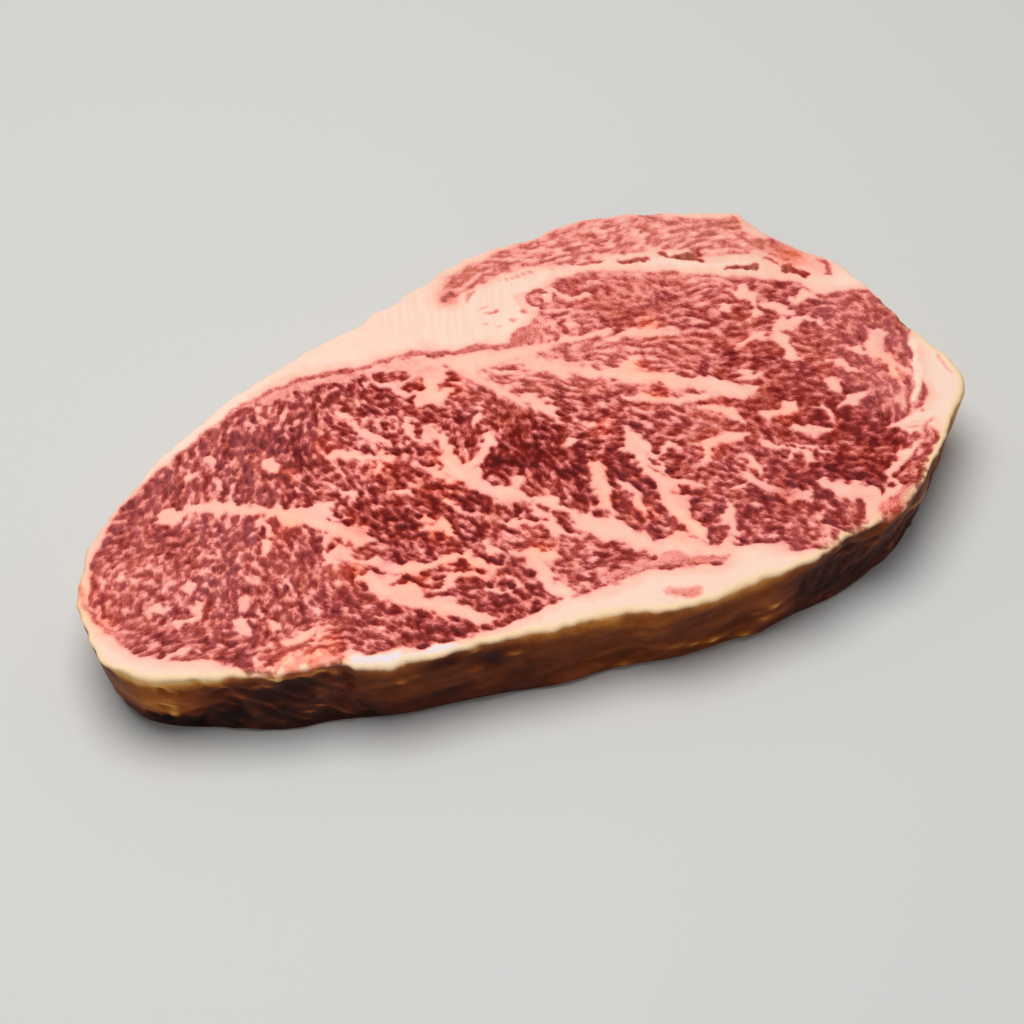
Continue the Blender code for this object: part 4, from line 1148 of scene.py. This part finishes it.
class Nodes:
    """Short calls that add nodes to one material."""

    def __init__(self, material):
        material.use_nodes = True
        self.tree = material.node_tree
        self.shader = self.tree.nodes["Principled BSDF"]

    def link(self, value, socket):
        if isinstance(value, bpy.types.NodeSocket):
            self.tree.links.new(value, socket)
        else:
            socket.default_value = value

    def field(self, name):
        node = self.tree.nodes.new("ShaderNodeAttribute")
        node.attribute_name = name
        return node.outputs["Fac"]

    def math(self, operation, a, b=0.0, clamp=False):
        node = self.tree.nodes.new("ShaderNodeMath")
        node.operation = operation
        node.use_clamp = clamp
        self.link(a, node.inputs[0])
        self.link(b, node.inputs[1])
        return node.outputs[0]

    def noise(self, size, detail):
        """Noise with lumps of about this size in mm, from about -1 to 1."""
        places = self.tree.nodes.new("ShaderNodeTexCoord")
        node = self.tree.nodes.new("ShaderNodeTexNoise")
        node.inputs["Scale"].default_value = 1 / (size * MM)
        node.inputs["Detail"].default_value = detail
        self.link(places.outputs["Object"], node.inputs["Vector"])
        return self.scaled(node.outputs["Fac"], 4.0, -2.0)

    def threads(self, size, stretch, slant):
        """Threads across the side, this wide in mm and that many times as long, at this slant."""
        places = self.tree.nodes.new("ShaderNodeTexCoord")
        turn = self.tree.nodes.new("ShaderNodeCombineXYZ")
        self.link(self.math("MULTIPLY", slant, -1.0), turn.inputs["Y"])
        mapping = self.tree.nodes.new("ShaderNodeMapping")
        mapping.vector_type = "TEXTURE"
        mapping.inputs["Scale"].default_value = (size * stretch * MM, size * stretch * MM, size * MM)
        self.link(places.outputs["Object"], mapping.inputs["Vector"])
        self.link(turn.outputs[0], mapping.inputs["Rotation"])
        node = self.tree.nodes.new("ShaderNodeTexNoise")
        node.inputs["Scale"].default_value = 1.0
        node.inputs["Detail"].default_value = 2.0
        node.inputs["Distortion"].default_value = 0.6
        self.link(mapping.outputs[0], node.inputs["Vector"])
        return self.scaled(node.outputs["Fac"], 4.0, -2.0)

    def fibres(self, size, across):
        """Fibres of about this size in mm, where across is the angle that they repeat in."""
        places = self.tree.nodes.new("ShaderNodeTexCoord")
        node = self.tree.nodes.new("ShaderNodeTexGabor")
        node.inputs["Scale"].default_value = 0.5 / (size * MM)
        node.inputs["Frequency"].default_value = 2.0
        node.inputs["Anisotropy"].default_value = 0.7
        self.link(places.outputs["Object"], node.inputs["Vector"])
        self.link(across, node.inputs["Orientation"])
        return self.scaled(node.outputs["Value"], 2.0, -1.0)

    def scaled(self, value, factor, offset):
        return self.math("ADD", self.math("MULTIPLY", value, factor), offset)

    def ramp(self, value, colours):
        low, high = colours[0][0], colours[-1][0]
        share = self.scaled(value, 1 / (high - low), -low / (high - low))
        node = self.tree.nodes.new("ShaderNodeValToRGB")
        stops = node.color_ramp.elements
        while len(stops) < len(colours):
            stops.new(0.5)
        for stop, (place, colour) in zip(stops, colours):
            stop.position = (place - low) / (high - low)
            stop.color = linear(colour)
        self.link(share, node.inputs["Fac"])
        return node.outputs["Color"]

    def mix(self, share, a, b, blend="MIX"):
        node = self.tree.nodes.new("ShaderNodeMix")
        node.data_type = "RGBA"
        node.blend_type = blend
        self.link(share, node.inputs[0])
        self.link(a, node.inputs[6])
        self.link(b, node.inputs[7])
        return node.outputs[2]

    def bump(self, height, distance, strength):
        node = self.tree.nodes.new("ShaderNodeBump")
        node.inputs["Strength"].default_value = strength
        node.inputs["Distance"].default_value = distance * MM
        self.link(height, node.inputs["Height"])
        return node.outputs["Normal"]


def meat_material():
    material = bpy.data.materials.new("raw_marbled_beef")
    nodes = Nodes(material)
    fine = nodes.noise(0.9, 2.0)
    finest = nodes.noise(0.4, 1.0)
    grit = nodes.math("ADD", nodes.math("MULTIPLY", fine, 0.42), nodes.math("MULTIPLY", finest, 0.20))
    double = nodes.math("ARCTAN2", nodes.field("grain_sin"), nodes.field("grain_cos"))
    across = nodes.scaled(double, 0.5, math.pi / 2)
    fibres = nodes.fibres(0.95, across)

    # Cut face
    stored = nodes.field("fat")
    quiet = nodes.scaled(stored, -0.42, 1.25)
    quiet = nodes.math("MAXIMUM", nodes.math("MINIMUM", quiet, 1.0), 0.06)
    detail = nodes.math("ADD", grit, nodes.math("MULTIPLY", fibres, 0.45))
    fat = nodes.math("ADD", stored, nodes.math("MULTIPLY", detail, quiet))
    lean = nodes.math("MULTIPLY", nodes.math("SUBTRACT", 1.3, fat), 0.62, clamp=True)
    colour = nodes.ramp(fat, FACE_COLOURS)
    tone = nodes.field("tone")
    warm = nodes.math("MULTIPLY", nodes.math("MAXIMUM", tone, 0.0), lean)
    cool = nodes.math("MULTIPLY", nodes.math("MAXIMUM", nodes.math("MULTIPLY", tone, -1.0), 0.0), lean)
    colour = nodes.mix(warm, colour, WARM_TINT + (1.0,), "MULTIPLY")
    colour = nodes.mix(cool, colour, COOL_TINT + (1.0,), "MULTIPLY")
    # Painted sheen: a grey-purple shine on the lean where the stored sheen and tan field is above 0;
    # below 0 it is the lean's own tan
    sheen_and_tan = nodes.math("MULTIPLY", nodes.math("MULTIPLY", nodes.field("sheen_and_tan"), lean), 0.40)
    tan = nodes.math("MULTIPLY", nodes.field("sheen_and_tan"), nodes.scaled(lean, -0.40, -0.12))
    colour = nodes.mix(nodes.math("MAXIMUM", sheen_and_tan, 0.0), colour, linear(SHEEN_COLOUR))
    colour = nodes.mix(nodes.math("MAXIMUM", tan, 0.0), colour, linear(TAN_COLOUR))
    glow = nodes.math("MULTIPLY", nodes.field("glow"), nodes.scaled(lean, 0.6, 0.4))
    colour = nodes.mix(glow, colour, GLOW_TINT + (1.0,), "MULTIPLY")
    # Painted highlight: the bright cream line along the front rim of the top face, stronger on fat than
    # on lean
    lip = nodes.math("MULTIPLY", nodes.field("lip"), nodes.scaled(lean, -0.55, 0.75))
    colour = nodes.mix(lip, colour, linear(RIM_HIGHLIGHT_COLOUR))

    # Side
    threads = nodes.threads(1.3, 6.0, nodes.field("slant"))
    flesh = nodes.field("flesh")
    wisps = nodes.math("MULTIPLY", nodes.math("MAXIMUM", nodes.scaled(threads, 1.0, -0.45), 0.0), flesh)
    wrinkles = nodes.math("MULTIPLY", threads, nodes.scaled(flesh, -0.03, 0.03))
    skin = nodes.math("ADD", nodes.field("skin"), nodes.math("MULTIPLY", grit, 0.05))
    skin = nodes.math("ADD", skin, wrinkles)
    skin = nodes.math("ADD", skin, nodes.math("MULTIPLY", wisps, 0.65))
    side_colour = nodes.ramp(skin, SKIN_COLOURS)
    side_colour = nodes.mix(nodes.field("rosy"), side_colour, linear(ROSY_COLOUR))
    onto_side = nodes.field("side")
    colour = nodes.mix(onto_side, colour, side_colour)
    nodes.link(colour, nodes.shader.inputs["Base Color"])

    # Moist lean, waxier fat
    face_rough = nodes.scaled(lean, LEAN_ROUGHNESS - FAT_ROUGHNESS, FAT_ROUGHNESS)
    rough = nodes.math("ADD", face_rough, nodes.math("MULTIPLY", fine, 0.05))
    nodes.link(rough, nodes.shader.inputs["Roughness"])
    nodes.shader.inputs["Specular IOR Level"].default_value = SPECULAR_LEVEL
    nodes.shader.inputs["IOR"].default_value = REFRACTION
    nodes.shader.inputs["Subsurface Weight"].default_value = SINKING_SHARE
    nodes.shader.inputs["Subsurface Radius"].default_value = SINKING_RADII
    nodes.shader.inputs["Subsurface Scale"].default_value = SINKING_DEPTH * MM
    height = nodes.math("ADD", nodes.math("MULTIPLY", fat, 0.3), nodes.math("MULTIPLY", grit, 0.5))
    nodes.link(nodes.bump(height, BUMP_HEIGHT, BUMP_STRENGTH), nodes.shader.inputs["Normal"])
    return material


def plain_material(name, colour, roughness):
    material = bpy.data.materials.new(name)
    nodes = Nodes(material)
    nodes.shader.inputs["Base Color"].default_value = linear(colour)
    nodes.shader.inputs["Roughness"].default_value = roughness
    return material


# --------------------------------------------------------------------------------------- scene

# Camera: direction round and above the slice in degrees, distance, lens, and what it looks at
CAMERA_AZIMUTH = -24.0
CAMERA_ELEVATION = 50.0
CAMERA_DISTANCE = 720.0
CAMERA_LENS = 84.37
CAMERA_AIM = (-1.42, -5.18, 2.0)

FLOOR_SIZE = 6000.0
FLOOR_COLOUR = (214, 213, 210)
WORLD_COLOUR = (0.95, 0.97, 1.0)
WORLD_STRENGTH = 0.28
# Lights: place, size across, power in watts
LIGHTS = {
    "key_light": ((-90, 150, 1200), 900, 12.0),
}


def make_slice():
    piece = bpy.data.objects.new(PIECE_NAME, build_slice())
    bpy.context.scene.collection.objects.link(piece)
    piece.data.materials.append(meat_material())
    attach(piece, "root")
    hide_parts(CAD_NODE)
    return piece


def make_floor():
    half = FLOOR_SIZE / 2 * MM
    mesh = bpy.data.meshes.new("floor")
    corners = [(-half, -half, 0), (half, -half, 0), (half, half, 0), (-half, half, 0)]
    mesh.from_pydata(corners, [], [(0, 1, 2, 3)])
    mesh.materials.append(plain_material("pale_floor", FLOOR_COLOUR, 0.6))
    floor = bpy.data.objects.new("floor", mesh)
    bpy.context.scene.collection.objects.link(floor)


def aim_at(thing, target):
    """Turns a camera or light, which look along their own -Z, towards a place."""
    thing.rotation_euler = (target - thing.location).to_track_quat("-Z", "Y").to_euler()


def make_camera():
    azimuth, elevation = math.radians(CAMERA_AZIMUTH), math.radians(CAMERA_ELEVATION)
    flat = math.cos(elevation)
    back = Vector((math.sin(azimuth) * flat, -math.cos(azimuth) * flat, math.sin(elevation)))
    data = bpy.data.cameras.new("camera")
    data.lens = CAMERA_LENS
    camera = bpy.data.objects.new("camera", data)
    aim = Vector(CAMERA_AIM) * MM
    camera.location = aim + back * CAMERA_DISTANCE * MM
    aim_at(camera, aim)
    bpy.context.scene.collection.objects.link(camera)
    bpy.context.scene.camera = camera


def make_lights():
    for name, (place, size, power) in LIGHTS.items():
        data = bpy.data.lights.new(name, "AREA")
        data.shape = "DISK"
        data.size = size * MM
        data.energy = power
        lamp = bpy.data.objects.new(name, data)
        lamp.location = Vector(place) * MM
        aim_at(lamp, Vector((0, 0, 0)))
        bpy.context.scene.collection.objects.link(lamp)
    world = bpy.data.worlds.new("studio")
    world.use_nodes = True
    backdrop = world.node_tree.nodes["Background"]
    backdrop.inputs["Color"].default_value = WORLD_COLOUR + (1.0,)
    backdrop.inputs["Strength"].default_value = WORLD_STRENGTH
    bpy.context.scene.world = world
    bpy.context.scene.view_settings.view_transform = "Standard"


make_slice()
make_floor()
make_camera()
make_lights()
